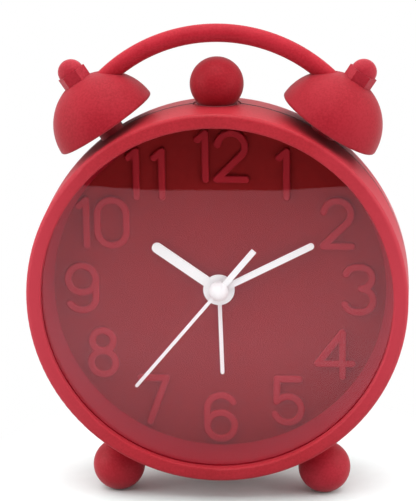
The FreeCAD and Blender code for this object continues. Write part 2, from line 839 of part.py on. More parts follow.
# Dial ring: the sloping wall between the lens and the dial
def make_dial_ring():
    body = new_body("dial_ring_body")
    bore = size("ring_opening_radius")
    outer = lens_radius
    step = tongue_start - size("seam_gap")
    inner_step = tongue_radius - size("tongue_thickness") - size("tongue_clearance")
    section = [(bore, lens_back), (outer, lens_back), (outer, step), (inner_step, step),
               (inner_step, size("dial_depth")), (size("funnel_end_radius"), size("dial_depth"))]
    turned(body, outline(body, "XY_Plane", section))
    in_clock("dial_ring", body)


# Dial: a disc with the twelve numbers standing out of it, and four screw posts behind
def numeral_path(name):
    """The centre lines of one figure, as lists of edges, about the figure's own middle. Every
    point is a share of half the height of the figure's centre line."""
    half = (size("numeral_height") - size("numeral_stroke")).value / 2
    wide = 0.62

    def line(*points):
        spots = [FreeCAD.Vector(x * half, z * half, 0) for x, z in points]
        return [Part.LineSegment(a, b).toShape() for a, b in zip(spots, spots[1:])]

    def arc(x, z, radius, start, end):
        if end - start == 360:
            middle = FreeCAD.Vector(x * half, z * half, 0)
            return [Part.Circle(middle, FreeCAD.Vector(0, 0, 1), radius * half).toShape()]
        spots = [FreeCAD.Vector(*[value * half for value in at(x, z, radius, angle)], 0)
                 for angle in (start, (start + end) / 2, end)]
        return [Part.Arc(*spots).toShape()]

    def at(x, z, radius, angle):
        turn = math.radians(angle)
        return x + radius * math.cos(turn), z + radius * math.sin(turn)

    if name == "0":
        side = 1 - wide
        return [arc(0, side, wide, 0, 180) + line((-wide, side), (-wide, -side))
                + arc(0, -side, wide, 180, 360) + line((wide, -side), (wide, side))]
    if name == "1":
        return [line((0, -1), (0, 1), (-0.32, 0.72))]
    if name == "2":
        bowl = 0.58
        return [arc(0, 1 - bowl, bowl, 172, -38)
                + line(at(0, 1 - bowl, bowl, -38), (-wide, -1), (wide, -1))]
    if name == "3":
        upper, spread = 0.475, 0.1
        lower = 1 - upper
        return [arc(-spread, 1 - upper, upper, 160, 90) + line((-spread, 1), (spread, 1))
                + arc(spread, 1 - upper, upper, 90, -90) + arc(spread, lower - 1, lower, 90, -90)
                + line((spread, -1), (-spread, -1)) + arc(-spread, lower - 1, lower, -90, -160)]
    if name == "4":
        stem, bar = 0.24, -0.42
        return [line((stem, 1), (-0.84, bar), (0.66, bar)), line((stem, -1), (stem, 1))]
    if name == "5":
        bowl = 0.6
        return [line((0.5, 1), (-0.46, 1), at(0, bowl - 1, bowl, 143)) + arc(0, bowl - 1, bowl, 143, -158)]
    if name == "6":
        bowl, top = 0.6, 0.62
        return [arc(0, bowl - 1, bowl, 0, 360),
                line((-bowl, bowl - 1), (-bowl, 1 - top)) + arc(top - bowl, 1 - top, top, 180, 32)]
    if name == "7":
        return [line((-0.56, 1), (0.56, 1), (-0.18, -1))]
    if name == "8":
        upper = 0.46
        lower = 1 - upper
        return [arc(0, 1 - upper, upper, 90, 450), arc(0, lower - 1, lower, 90, 450)]
    return [[edge.rotated(FreeCAD.Vector(), FreeCAD.Vector(0, 0, 1), 180) for edge in path]
            for path in numeral_path("6")]


def stroke_face(edges, width):
    """The flat shape that a round-nosed pen of that width leaves along a centre line."""
    first = edges[0].Curve
    if len(edges) == 1 and isinstance(first, Part.Circle) and edges[0].isClosed():
        outer = Part.Wire([Part.Circle(first.Center, first.Axis, first.Radius + width / 2).toShape()])
        inner = Part.Wire([Part.Circle(first.Center, first.Axis, first.Radius - width / 2).toShape()])
        return Part.Face(outer).cut(Part.Face(inner)).Faces[0]
    path = Part.Wire(Part.__sortEdges__(edges))
    if len(edges) == 1 and isinstance(first, Part.Line):
        return straight_stroke(*[vertex.Point for vertex in edges[0].Vertexes], width)
    if path.isClosed():
        outer, inner = path.makeOffset2D(width / 2), path.makeOffset2D(-width / 2)
        return Part.Face(outer).cut(Part.Face(inner)).Faces[0]
    return Part.Face(path.makeOffset2D(width / 2))


def straight_stroke(start, end, width):
    """A straight stroke with round ends, for which an offset line has no plane of its own."""
    side = (end - start).normalize().cross(FreeCAD.Vector(0, 0, 1)) * (width / 2)
    forward = (end - start).normalize() * (width / 2)
    edges = [Part.LineSegment(start + side, end + side).toShape(),
             Part.Arc(end + side, end + forward, end - side).toShape(),
             Part.LineSegment(end - side, start - side).toShape(),
             Part.Arc(start - side, start - forward, start + side).toShape()]
    return Part.Face(Part.Wire(edges))


def numeral_solids():
    """All twelve hour numbers, upright, standing out of the dial with softly rounded edges."""
    pitch = size("numeral_pitch").value
    reach = size("numeral_circle_radius").value
    height = (size("numeral_relief") + size("numeral_root")).value
    edge_round = size("numeral_edge_round").value
    solids = []
    for hour in range(1, 13):
        text = str(hour)
        turn = math.radians(30 * hour)
        aside = NUMERAL_SHIFTS.get(hour, 0) * size("numeral_height").value
        strokes = []
        for place, figure in enumerate(text):
            shift = (place - (len(text) - 1) / 2) * pitch + aside
            middle = FreeCAD.Vector(reach * math.sin(turn) + shift, reach * math.cos(turn), 0)
            for path in numeral_path(figure):
                face = stroke_face(path, size("numeral_stroke").value)
                face.translate(middle)
                strokes.append(face.extrude(FreeCAD.Vector(0, 0, height)))
        number = strokes[0].fuse(strokes[1:]).removeSplitter() if len(strokes) > 1 else strokes[0]
        for figure in number.Solids:
            rim = [edge for edge in figure.Edges
                   if min(vertex.Z for vertex in edge.Vertexes) > height - FACE_MATCH]
            solids.append(figure.makeFillet(edge_round, rim))
    return solids


def make_dial():
    body = new_body("dial_body")
    raised(body, circle_on(body, "XZ_Plane", size("dial_radius"), depth=size("dial_depth")),
           size("dial_thickness"))
    figures = doc.addObject("Part::Feature", "figures")
    figures.Shape = Part.makeCompound(numeral_solids())
    figures.Placement = FreeCAD.Placement(FreeCAD.Vector(), FreeCAD.Rotation(X_AXIS, 90))
    put(figures, 0, size("dial_depth") + size("numeral_root"), 0)
    posts = []
    for x in (size("screw_x"), -size("screw_x")):
        for z in (size("screw_z"), -size("screw_z")):
            posts.append(rod(size("dial_post_radius"), size("dial_depth") + size("dial_thickness") / 2,
                             size("boss_meeting_depth") - size("dial_depth") - size("dial_thickness") / 2,
                             x, z))
    tools = [rod(size("dial_hole_radius"), size("dial_depth") - beyond,
                 size("dial_thickness") + beyond * 2)]
    for x in (size("screw_x"), -size("screw_x")):
        for z in (size("screw_z"), -size("screw_z")):
            tools.append(rod(size("screw_radius"),
                             size("boss_meeting_depth") - size("screw_bite") - size("seat_clearance"),
                             size("screw_bite") + beyond, x, z))
    in_clock("dial", without(joined([body, figures] + posts), tools))


# Ball feet: a ball with a flat where it stands, its top cut to the curve of the case
def make_front_foot(side, label):
    ball = doc.addObject("Part::Sphere", "ball")
    bind(ball, Radius=size("ball_radius"))
    put(ball, foot_x * side, size("front_foot_depth"), -foot_height)
    angle = 180 - size("foot_angle") * side
    peg = spoke(size("foot_peg_radius"), size("shell_bore_radius") + size("peg_inset"),
                size("foot_reach"), angle, size("front_foot_depth"))
    case = rod(case_radius + size("seat_clearance"), -size("ball_radius"), size("ball_radius") * 8)
    in_clock(label, joined([without(ball, [case, floor_block()]), peg]))


def floor_block():
    """What is cut away below the floor."""
    reach = size("ring_radius")
    return block(-reach, reach, 0, size("case_depth") * 2, -foot_height - size("ball_radius") * 2,
                 size("foot_flat") - foot_height - size("ball_radius"))


def make_rear_foot():
    ball = doc.addObject("Part::Sphere", "ball")
    bind(ball, Radius=size("ball_radius"))
    put(ball, 0, size("rear_foot_depth"), -foot_height)
    case = new_body("case_envelope")
    clear = size("seat_clearance")
    corners, arcs = cover_section(case_radius + clear, size("rear_bulge_radius") + clear,
                                  size("case_depth") + clear)
    turned(case, outline(case, "XY_Plane", corners, arcs))
    peg_top = size("foot_peg_length") - foot_height
    peg = upright(size("foot_peg_radius"), -foot_height, peg_top, 0, size("rear_foot_depth"))
    in_clock("foot_rear", joined([without(ball, [case, floor_block()]), peg]))


# Snooze button: the ball on top, with a stem and a flange that keep it in the case
def make_snooze_button():
    ball = doc.addObject("Part::Sphere", "ball")
    bind(ball, Radius=size("ball_radius"))
    put(ball, 0, size("seam_depth"), size("button_reach"))
    y = button_stem_y()
    stem_bottom = plunger_top() + size("button_travel") + size("coil_clearance")
    stem = upright(size("button_stem_radius"), stem_bottom, size("button_reach"), 0, y)
    half = size("button_flange_width") / 2
    top = button_flange_top()
    flange = block(-half, half, dial_back + size("flange_gap") * 2, y + half,
                   top - size("button_flange_thickness"), top)
    in_clock("snooze_button", joined([ball, stem, flange]))


def make_button_spring():
    """A coil between the shelf and the button's flange, round the stem."""
    wire = size("button_spring_wire").value
    clear = size("seat_clearance").value
    radius = size("button_stem_radius").value + size("flange_gap").value + wire
    bottom = shelf_height().value
    height = size("button_spring_length").value - wire - clear * 2
    path = Part.makeLongHelix(height / SPRING_TURNS, height, radius)
    start = FreeCAD.Vector(radius, 0, 0)
    ring = Part.Wire([Part.Circle(start, FreeCAD.Vector(0, 1, 0), wire / 2).toShape()])
    coil = path.makePipeShell([ring], True, False)
    spring = doc.addObject("Part::Feature", "spring")
    spring.Shape = coil.translated(FreeCAD.Vector(0, button_stem_y().value, bottom + wire / 2 + clear))
    in_clock("button_spring", spring)


def make_button_switch():
    """The small switch under the button, on its own board on top of the movement."""
    y = button_stem_y()
    board_bottom = size("movement_top")
    board_top = board_bottom + size("switch_board_thickness")
    half = size("switch_board_half_width")
    board = block(-half, half, movement_front + size("flange_gap"), movement_back, board_bottom, board_top)
    in_clock("switch_board", board)
    half = size("snooze_switch_width") / 2
    case_top = board_top + size("snooze_switch_height")
    case = block(-half, half, y - size("plunger_radius") - size("flange_gap") * 2, y + half, board_top,
                 case_top)
    plunger = upright(size("plunger_radius"), case_top, plunger_top(), 0, y)
    in_clock("snooze_switch", joined([case, plunger]))


# Bells: hollow half-balls, each on a post, held by a cap nut
def bell_place(thing, label, side):
    """Stands a piece that was drawn upright on the case, leaning out with its bell."""
    angle = size("bell_angle") * side
    thing.Label = label
    thing.Placement = FreeCAD.Placement(FreeCAD.Vector(), FreeCAD.Rotation(Y_AXIS, 1))
    thing.setExpression("Placement.Rotation.Angle", angle.formula)
    put(thing, size("bell_reach") * sine(angle), front_face_y + size("seam_depth"),
        dial_axis_height + size("bell_reach") * cosine(angle))
    nodes.append(thing)


def make_bell(side, label):
    radius = size("bell_radius")
    inner = radius - size("bell_wall")
    dome = doc.addObject("Part::Sphere", "dome")
    bind(dome, Radius=radius)
    dome.Angle1 = 0
    hollow = doc.addObject("Part::Sphere", "hollow")
    bind(hollow, Radius=inner)
    for ball in (dome, hollow):
        ball.Placement = FreeCAD.Placement(FreeCAD.Vector(), FreeCAD.Rotation(FreeCAD.Vector(0, 0, 1), 90))
    stud_hole = upright(size("stud_radius") + size("seat_clearance"), 0, radius + beyond, 0, 0)
    half = without(dome, [hollow, stud_hole])
    doc.recompute()
    rim = doc.addObject("Part::Fillet", "rim")
    rim.Base = half
    edges = [number for number, edge in enumerate(half.Shape.Edges, start=1)
             if isinstance(edge.Curve, Part.Circle) and abs(edge.Curve.Radius - radius.value) < 0.01
             and abs(edge.Curve.Center.z) < 0.01 and abs(edge.BoundBox.ZLength) < 0.01]
    rim.Edges = [(number, size("bell_rim_round").value, size("bell_rim_round").value) for number in edges]
    bell = without(rim, [handle_in_bell(side)])
    bell_place(bell, label, side)


def handle_in_bell(side):
    """The end of the handle's rod in the frame of one bell, grown by the seat's clearance. The ring
    passes the bell's rim too, so only the part above half the bell's height is kept."""
    ring = doc.addObject("Part::Torus", "handle_ring")
    bind(ring, Radius1=size("handle_radius"), Radius2=size("handle_rod_radius") + size("seat_clearance"))
    ring.Placement = FreeCAD.Placement(FreeCAD.Vector(), FreeCAD.Rotation(X_AXIS, 90))
    angle = size("bell_angle") * side
    drop = handle_centre_height
    put(ring, -drop * sine(angle), 0, drop * cosine(angle) - size("bell_reach"))
    radius = size("bell_radius")
    upper = block(-radius, radius, -radius, radius, radius / 2, radius * 2)
    end = doc.addObject("Part::MultiCommon", "handle_end")
    end.Shapes = [ring, upper]
    return end


def make_post(side, label):
    """The pillar under a bell: from inside the case wall up to the crown, then the thin stud."""
    inner = size("bell_radius") - size("bell_wall")
    shoulder = root(inner * inner - size("post_radius") * size("post_radius")) - size("seat_clearance")
    foot = size("shell_bore_radius") + size("peg_inset") - size("bell_reach")
    pillar = upright(size("post_radius"), foot, shoulder, 0, 0)
    stud = upright(size("stud_radius"), shoulder, size("bell_radius") + size("nut_hex_height"), 0, 0)
    bell_place(joined([pillar, stud]), label, side)


def make_cap_nut(side, label):
    body = new_body("nut_body")
    half = size("nut_width") / 2
    slope = 1 / math.sqrt(3)
    corners = [(half * (2 * slope), 0), (half * slope, half), (-half * slope, half),
               (-half * (2 * slope), 0), (-half * slope, -half), (half * slope, -half)]
    sketch = outline(body, "XY_Plane", corners)
    bottom = size("bell_radius") - size("bell_rim_round")
    sketch.setExpression("AttachmentOffset.Base.z", bottom.formula)
    raised(body, sketch, size("nut_hex_height"), back=False)
    dome = doc.addObject("Part::Sphere", "dome")
    bind(dome, Radius=size("nut_dome_radius"))
    dome.Angle1 = 0
    put(dome, 0, 0, bottom + size("nut_hex_height"))
    seat = doc.addObject("Part::Sphere", "seat")
    bind(seat, Radius=size("bell_radius") + size("seat_clearance") / 5)
    bore = upright(size("stud_radius") + size("seat_clearance"), 0,
                   size("bell_radius") + size("nut_hex_height") + size("seat_clearance"), 0, 0)
    bell_place(without(joined([body, dome]), [seat, bore]), label, side)


def make_handle():
    """The round rod that arches from one bell to the other."""
    ring = doc.addObject("Part::Torus", "arch")
    bind(ring, Radius1=size("handle_radius"), Radius2=size("handle_rod_radius"))
    ring.Placement = FreeCAD.Placement(FreeCAD.Vector(), FreeCAD.Rotation(X_AXIS, 90))
    put(ring, 0, size("seam_depth"), handle_centre_height)
    ring.Angle3 = 360
    wedge = new_body("arch_sector")
    far_x = handle_end_x * 2
    far_z = handle_end_z * 2 - handle_centre_height
    corners = [(0, handle_centre_height), (far_x, far_z), (0, far_z + size("handle_radius")),
               (-far_x, far_z)]
    raised(wedge, outline(wedge, "XZ_Plane", corners, depth=size("seam_depth") - size("handle_rod_radius") * 2),
           size("handle_rod_radius") * 4)
    handle = doc.addObject("Part::MultiCommon", "handle")
    handle.Shapes = [ring, wedge]
    in_clock("handle", handle)


# Hands: stamped strips on the pipes and the arbor of the movement
def strip(width, start, end, depth, pointed=False):
    """A strip along Z between two distances from the dial axis, with a round end."""
    bar = block(-(width / 2), width / 2, depth, depth + size("hand_thickness"), start, end - width / 2)
    if pointed:
        return [bar]
    return [bar, rod(width / 2, depth, size("hand_thickness"), 0, end - width / 2)]


def make_hands():
    thickness = size("hand_thickness")
    table = [
        ("alarm_hand", "alarm_hub_radius", "alarm_pipe_radius"),
        ("hour_hand", "hour_hub_radius", "hour_pipe_radius"),
        ("minute_hand", "minute_hub_radius", "cannon_pipe_radius"),
    ]
    for label, hub, pipe in table:
        depth = size(f"{label}_depth")
        width = size(f"{label}_width")
        pieces = strip(width, ZERO, size(f"{label}_length"), depth)
        pieces.append(rod(size(hub), depth, thickness))
        hand = without(joined(pieces), [rod(size(pipe), depth - beyond, thickness + beyond * 2)])
        in_clock(label, hand, turn=size(f"{label}_angle"))
    depth = size("second_hand_depth")
    tail = block(-(size("second_tail_width") / 2), size("second_tail_width") / 2, depth, depth + thickness,
                 -size("second_tail_length"), ZERO)
    pieces = strip(size("second_hand_width"), ZERO, size("second_hand_length"), depth) + [tail]
    collar = rod(size("cap_radius"), depth, thickness)
    crown = doc.addObject("Part::Sphere", "crown")
    crown_radius = (size("cap_radius") * size("cap_radius") + size("cap_height") * size("cap_height")) \
        / (size("cap_height") * 2)
    bind(crown, Radius=crown_radius)
    put(crown, 0, depth - size("cap_height") + crown_radius, 0)
    behind = rod(size("cap_radius") * 3, depth, crown_radius * 3)
    dome = without(crown, [behind])
    hand = without(joined(pieces + [collar, dome]),
                   [rod(size("second_arbor_radius"), depth, thickness + beyond)])
    in_clock("second_hand", hand, turn=size("second_hand_angle"))


# Wheels of the movement
def tooth_ring(tooth_module, teeth, phase):
    """The outline of a wheel with straight-sided teeth. One tooth points at the phase angle,
    anticlockwise from X in the XZ plane."""
    pitch_radius = tooth_module * teeth / 2
    tip = pitch_radius + 0.8 * tooth_module
    foot = pitch_radius - 1.2 * tooth_module
    share = 360.0 / teeth
    corners = []
    for number in range(teeth):
        middle = phase + share * number
        for radius, offset in ((foot, -0.27), (tip, -0.11), (tip, 0.11), (foot, 0.27)):
            turn = math.radians(middle + offset * share)
            corners.append(FreeCAD.Vector(radius * math.cos(turn), 0, radius * math.sin(turn)))
    return Part.makePolygon(corners + corners[:1])


def wheel(tooth_module, teeth, phase, depth, thickness, x=ZERO, z=ZERO):
    """A toothed wheel about an axis parallel with the dial axis."""
    disc = doc.addObject("Part::Feature", "toothed")
    face = Part.Face(tooth_ring(tooth_module.value, teeth, phase))
    disc.Shape = face.extrude(FreeCAD.Vector(0, thickness.value, 0))
    put(disc, x, depth, z)
    return disc


def mesh_angle(x, z):
    return math.degrees(math.atan2(z.value, x.value))


def gap_towards(angle, teeth):
    """The phase that puts a gap between two teeth at an angle."""
    return angle + 180.0 / teeth


def make_going_train():
    """Cannon pinion, hour wheel, minute wheel with its pinion, and the alarm wheels."""
    clear = size("running_clearance")
    thick = size("wheel_thickness")
    time_angle = mesh_angle(time_shaft_x, shaft_z)
    alarm_angle = mesh_angle(alarm_shaft_x, shaft_z)

    depth = size("alarm_wheel_depth")
    pipe_start = size("alarm_hand_depth")
    parts = [wheel(module, ALARM_WHEEL_TEETH, alarm_angle, depth, thick),
             rod(size("alarm_pipe_radius"), pipe_start, depth + thick - pipe_start)]
    in_clock("alarm_wheel", without(joined(parts), [
        rod(size("hour_pipe_radius") + clear, pipe_start - beyond, depth + thick - pipe_start + beyond * 2)]))

    depth = size("hour_wheel_depth")
    pipe_start = size("hour_hand_depth")
    parts = [wheel(module, HOUR_WHEEL_TEETH, time_angle, depth, thick),
             rod(size("hour_pipe_radius"), pipe_start, depth + thick - pipe_start)]
    in_clock("hour_wheel", without(joined(parts), [
        rod(size("cannon_pipe_radius") + clear, pipe_start - beyond,
            depth + thick - pipe_start + beyond * 2)]))

    depth = size("cannon_depth")
    pipe_start = size("minute_hand_depth")
    parts = [wheel(module, CANNON_TEETH, time_angle, depth, thick),
             rod(size("cannon_pipe_radius"), pipe_start, depth + thick - pipe_start)]
    in_clock("cannon_pinion", without(joined(parts), [
        rod(size("second_arbor_radius") + clear, pipe_start - beyond,
            depth + thick - pipe_start + beyond * 2)]))

    time_gap = gap_towards(time_angle + 180, MINUTE_WHEEL_TEETH)
    pinion_gap = gap_towards(time_angle + 180, MINUTE_PINION_TEETH)
    start = size("hour_wheel_depth")
    parts = [wheel(module, MINUTE_WHEEL_TEETH, time_gap, size("cannon_depth"), thick, time_shaft_x, shaft_z),
             wheel(module, MINUTE_PINION_TEETH, pinion_gap, start, size("cannon_depth") - start,
                   time_shaft_x, shaft_z)]
    in_clock("minute_wheel", without(joined(parts), [
        rod(size("thin_shaft_radius"), start - beyond, size("cannon_depth") + thick - start + beyond * 2,
            time_shaft_x, shaft_z)]))

    pinion_gap = gap_towards(alarm_angle + 180, ALARM_PINION_TEETH)
    depth = size("alarm_wheel_depth")
    in_clock("alarm_pinion", without(
        wheel(module, ALARM_PINION_TEETH, pinion_gap, depth, thick, alarm_shaft_x, shaft_z),
        [rod(size("thin_shaft_radius"), depth - beyond, thick + beyond * 2, alarm_shaft_x, shaft_z)]))


def make_knob(label, x, wheel_end):
    """A setting knob with its shaft, which carries a wheel of the movement on its thin end."""
    head_start = size("case_depth") + size("knob_gap")
    body = new_body(f"{label}_head")
    raised(body, circle_on(body, "XZ_Plane", size("knob_radius"), x, shaft_z, head_start),
           size("knob_thickness"))
    grooves = []
    for number in range(KNOB_GROOVES):
        turn = as_size(360.0 * number / KNOB_GROOVES)
        grooves.append(rod(size("knob_groove_radius"), head_start - beyond,
                           size("knob_thickness") + beyond * 2, x + size("knob_radius") * cosine(turn),
                           shaft_z + size("knob_radius") * sine(turn)))
    head = without(body, grooves)
    shaft = rod(size("knob_shaft_radius"), wheel_end, head_start - wheel_end, x, shaft_z)
    end_start = movement_inside - size("movement_plate") / 2
    end = rod(size("thin_shaft_radius"), end_start, wheel_end - end_start, x, shaft_z)
    in_clock(label, joined([head, shaft, end]))


def make_seconds_train():
    """The seconds wheel, the third wheel and the rotor of the stepping motor."""
    fine = size("fine_module")
    thick = size("fine_wheel_thickness")
    arbor = size("arbor_radius")
    bearing = movement_back - size("movement_wall") / 2
    up = 90.0

    start = size("second_hand_depth")
    depth = size("seconds_wheel_depth")
    parts = [wheel(fine, SECONDS_WHEEL_TEETH, up, depth, thick),
             rod(size("second_arbor_radius"), start, bearing - start)]
    in_clock("seconds_wheel", joined(parts))

    pinion_gap = gap_towards(up + 180, FINE_PINION_TEETH)
    depth3 = size("third_wheel_depth")
    in_bridge = size("bridge_depth") + size("arbor_seat")
    parts = [wheel(fine, THIRD_WHEEL_TEETH, up, depth3, thick, ZERO, third_z),
             wheel(fine, FINE_PINION_TEETH, pinion_gap, depth, depth3 - depth, ZERO, third_z),
             rod(arbor, in_bridge, bearing - in_bridge, ZERO, third_z)]
    in_clock("third_wheel", joined(parts))

    gap = size("magnet_gap")
    magnet = rod(size("magnet_radius"), depth3 + thick + gap, size("magnet_length"), ZERO, rotor_z)
    parts = [wheel(fine, FINE_PINION_TEETH, pinion_gap, depth3, thick + gap, ZERO, rotor_z), magnet,
             rod(arbor, in_bridge, bearing - in_bridge, ZERO, rotor_z)]
    in_clock("rotor", joined(parts))


# Movement case, its middle plate, the motor and the board
def make_movement_case():
    clear = size("running_clearance")
    half = size("movement_half_width")
    low = size("movement_bottom")
    high = size("movement_top")
    wall = size("movement_wall")

    front = new_body("movement_front_body")
    plate = raised(front, rectangle(front, half, low, high, movement_front), size("movement_plate"))
    rounded(front, plate, size("movement_corner_round"), along(Y_AXIS))
    holes = [rod(size("alarm_pipe_radius") + clear, movement_front - beyond,
                 size("movement_plate") + beyond * 2)]
    for x in (time_shaft_x, alarm_shaft_x):
        seat = size("movement_plate") / 2 + clear
        holes.append(rod(size("thin_shaft_radius") + clear, movement_inside - seat, seat + beyond, x,
                         shaft_z))
    in_clock("movement_front", without(front, holes))

    back = new_body("movement_back_body")
    depth = movement_back - movement_inside
    cup = raised(back, rectangle(back, half, low, high, movement_inside), depth)
    cup = rounded(back, cup, size("movement_corner_round"), along(Y_AXIS))
    sunk(back, rectangle(back, half - wall, low + wall, high - wall, movement_inside),
         depth - wall)
    holes = [rod(size("second_arbor_radius") + clear, inner_back - beyond, wall / 2 + beyond + clear)]
    for z in (third_z, rotor_z):
        holes.append(rod(size("arbor_radius") + clear, inner_back - beyond, wall / 2 + beyond + clear,
                         ZERO, z))
    for x in (time_shaft_x, alarm_shaft_x):
        holes.append(rod(size("knob_shaft_radius") + clear, inner_back - beyond, wall + beyond * 2, x,
                         shaft_z))
    in_clock("movement_back", without(back, holes))

    start = size("bridge_depth")
    thickness = size("bridge_thickness")
    bridge = block(wall + clear - half, half - wall - clear, start, start + thickness,
                   low + wall + clear, high - wall - clear)
    holes = [rod(size("second_arbor_radius") + clear, start - beyond, thickness + beyond * 2)]
    for z in (third_z, rotor_z):
        holes.append(rod(size("arbor_radius") + clear, start + size("arbor_seat") - clear, thickness,
                         ZERO, z))
    for x in (time_shaft_x, alarm_shaft_x):
        holes.append(rod(size("knob_shaft_radius") + clear, start - beyond, thickness + beyond * 2, x,
                         shaft_z))
    in_clock("bridge_plate", without(bridge, holes))


def make_motor():
    """The coil on its core, and the stator blades round the rotor."""
    blade_end = blade_start + size("wheel_thickness")
    half = size("coil_length") / 2
    outer = half + size("blade_end_width")
    low = rotor_z - size("blade_half_height")
    high = rotor_z + size("blade_half_height")
    coil_z = size("coil_height")
    core = size("core_half_height")
    pieces = [block(-outer, -half, blade_start, blade_end, low, coil_z + core * 2),
              block(half, outer, blade_start, blade_end, low, coil_z + core * 2),
              block(-half, half, blade_start, blade_end, low, high),
              block(-half, half, blade_start, blade_end, coil_z - core, coil_z + core)]
    hole = rod(size("magnet_radius") + size("magnet_gap"), blade_start - beyond,
               size("wheel_thickness") + beyond * 2, ZERO, rotor_z)
    in_clock("stator", without(joined(pieces), [hole]))

    winding = doc.addObject("Part::Cylinder", "winding")
    winding.Placement = FreeCAD.Placement(FreeCAD.Vector(), ALONG_X)
    bind(winding, Radius=size("coil_radius"), Height=size("coil_length") - size("coil_clearance") * 2)
    put(winding, size("coil_clearance") - half, (blade_start + blade_end) / 2, coil_z)
    hollow = block(-half, half, blade_start, blade_end, coil_z - core, coil_z + core)
    in_clock("motor_coil", without(winding, [hollow]))


def make_board():
    """The circuit board at the right of the movement, with its crystal."""
    left = time_shaft_x + size("knob_shaft_radius") + size("board_inset")
    right = size("movement_half_width") - size("movement_wall") - size("seat_clearance")
    middle = (left + right) / 2
    board_front = inner_back - size("board_thickness")
    board = block(left, right, board_front, inner_back, size("movement_bottom") + size("board_inset"),
                  size("movement_top") - size("board_inset"))
    chip = rod(size("chip_radius"), board_front - size("chip_thickness"), size("chip_thickness"), middle,
               shaft_z)
    in_clock("circuit_board", joined([board, chip]))
    crystal_bottom = shaft_z + size("chip_radius") * 2
    crystal = upright(size("crystal_radius"), crystal_bottom, crystal_bottom + size("crystal_length"),
                      middle, board_front - size("crystal_radius"))
    in_clock("quartz_crystal", crystal)


def make_buzzer():
    start = rear_inside - size("buzzer_thickness")
    disc = rod(size("buzzer_radius"), start, size("buzzer_thickness"), size("buzzer_x"), size("buzzer_z"))
    mouth = rod(size("sound_hole_pitch") * 1.5, start + size("buzzer_thickness") / 2,
                size("buzzer_thickness"), size("buzzer_x"), size("buzzer_z"))
    in_clock("buzzer", without(disc, [mouth]))


# Alarm switch: a slider in a slot in the back, on a small switch behind the movement
def make_alarm_switch():
    rest = -(size("switch_travel") / 2)
    z = size("switch_height")
    long_half = size("switch_knob_length") / 2
    tall_half = size("switch_knob_height") / 2
    gap = size("switch_knob_gap")
    knob_start = size("case_depth") + gap
    knob = block(rest - long_half, rest + long_half, knob_start, knob_start + size("switch_knob_thickness"),
                 z - tall_half, z + tall_half)
    long_half = size("switch_stem_width") / 2
    tall_half = size("switch_stem_height") / 2
    flange_back = rear_inside - gap
    flange_front = flange_back - size("switch_flange_thickness")
    stem = block(rest - long_half, rest + long_half, flange_front, knob_start, z - tall_half, z + tall_half)
    long_half = size("switch_flange_length") / 2
    tall_half = size("switch_flange_height") / 2
    flange = block(rest - long_half, rest + long_half, flange_front, flange_back, z - tall_half,
                   z + tall_half)
    nub_front = movement_back + size("slide_floor") + gap
    nub = rod(size("switch_nub_radius"), nub_front, flange_front - nub_front, rest, z)
    in_clock("alarm_switch", joined([knob, stem, flange, nub]))
    long_half = size("slide_case_length") / 2
    tall_half = size("slide_case_height") / 2
    case_back = movement_back + size("switch_room") / 2
    case = block(-long_half, long_half, movement_back, case_back, z - tall_half, z + tall_half)
    slot_half = size("switch_travel") / 2 + size("switch_nub_radius") + gap * 2
    slot_tall = size("switch_nub_radius") + gap
    slot = block(-slot_half, slot_half, movement_back + size("slide_floor"), case_back + beyond,
                 z - slot_tall, z + slot_tall)
    in_clock("slide_switch", without(case, [slot]))


# Battery and its contacts
def make_battery():
    half = size("bay_half_length")
    z = size("battery_height")
    y = size("battery_depth")
    plate = size("contact_thickness")
    clear = size("seat_clearance") / 2
    body_end = half - plate - clear - size("battery_nub_length")
    cell = doc.addObject("Part::Cylinder", "cell")
    nub = doc.addObject("Part::Cylinder", "nub")
    for thing in (cell, nub):
        thing.Placement = FreeCAD.Placement(FreeCAD.Vector(), ALONG_X)
    bind(cell, Radius=size("battery_radius"), Height=size("battery_length"))
    put(cell, body_end - size("battery_length"), y, z)
    bind(nub, Radius=size("battery_radius") * size("battery_nub_share"), Height=size("battery_nub_length"))
    put(nub, body_end, y, z)
    in_clock("battery", joined([cell, nub]))
    tall = size("bay_half_height") - size("contact_inset")
    in_clock("contact_plus", block(half - plate, half, y - tall, y + tall, z - tall, z + tall))
    base = block(-half, plate - half, y - tall, y + tall, z - tall, z + tall)
    reach = body_end - size("battery_length") - plate + half
    cone = doc.addObject("Part::Cone", "spring")
    cone.Placement = FreeCAD.Placement(FreeCAD.Vector(), ALONG_X)
    narrow = size("battery_radius") * size("battery_nub_share")
    bind(cone, Radius1=narrow * 3 / 2, Radius2=narrow, Height=reach - clear)
    put(cone, plate - half, y, z)
    in_clock("contact_minus", joined([base, cone]))


def make_case_screws():
    """Four screws from the back through the cover's posts into the dial's posts."""
    group = doc.addObject("Part::Compound", "screw_group")
    links = []
    seat = size("screw_seat_depth")
    start = size("boss_meeting_depth") - size("screw_bite")
    head_back = seat + size("screw_head_height")
    arm = size("screw_head_radius") * 2 / 3
    slim = size("screw_slot_width") / 2
    for x in (size("screw_x"), -size("screw_x")):
        for z in (size("screw_z"), -size("screw_z")):
            shank = rod(size("screw_radius") - size("seat_clearance"), start, seat - start, x, z)
            head = rod(size("screw_head_radius"), seat, size("screw_head_height"), x, z)
            slots = [block(x - wide, x + wide, head_back - size("screw_slot_depth"), head_back + beyond,
                           z - tall, z + tall) for wide, tall in ((arm, slim), (slim, arm))]
            links.append(without(joined([shank, head]), slots))
    group.Links = links
    in_clock("case_screws", group)


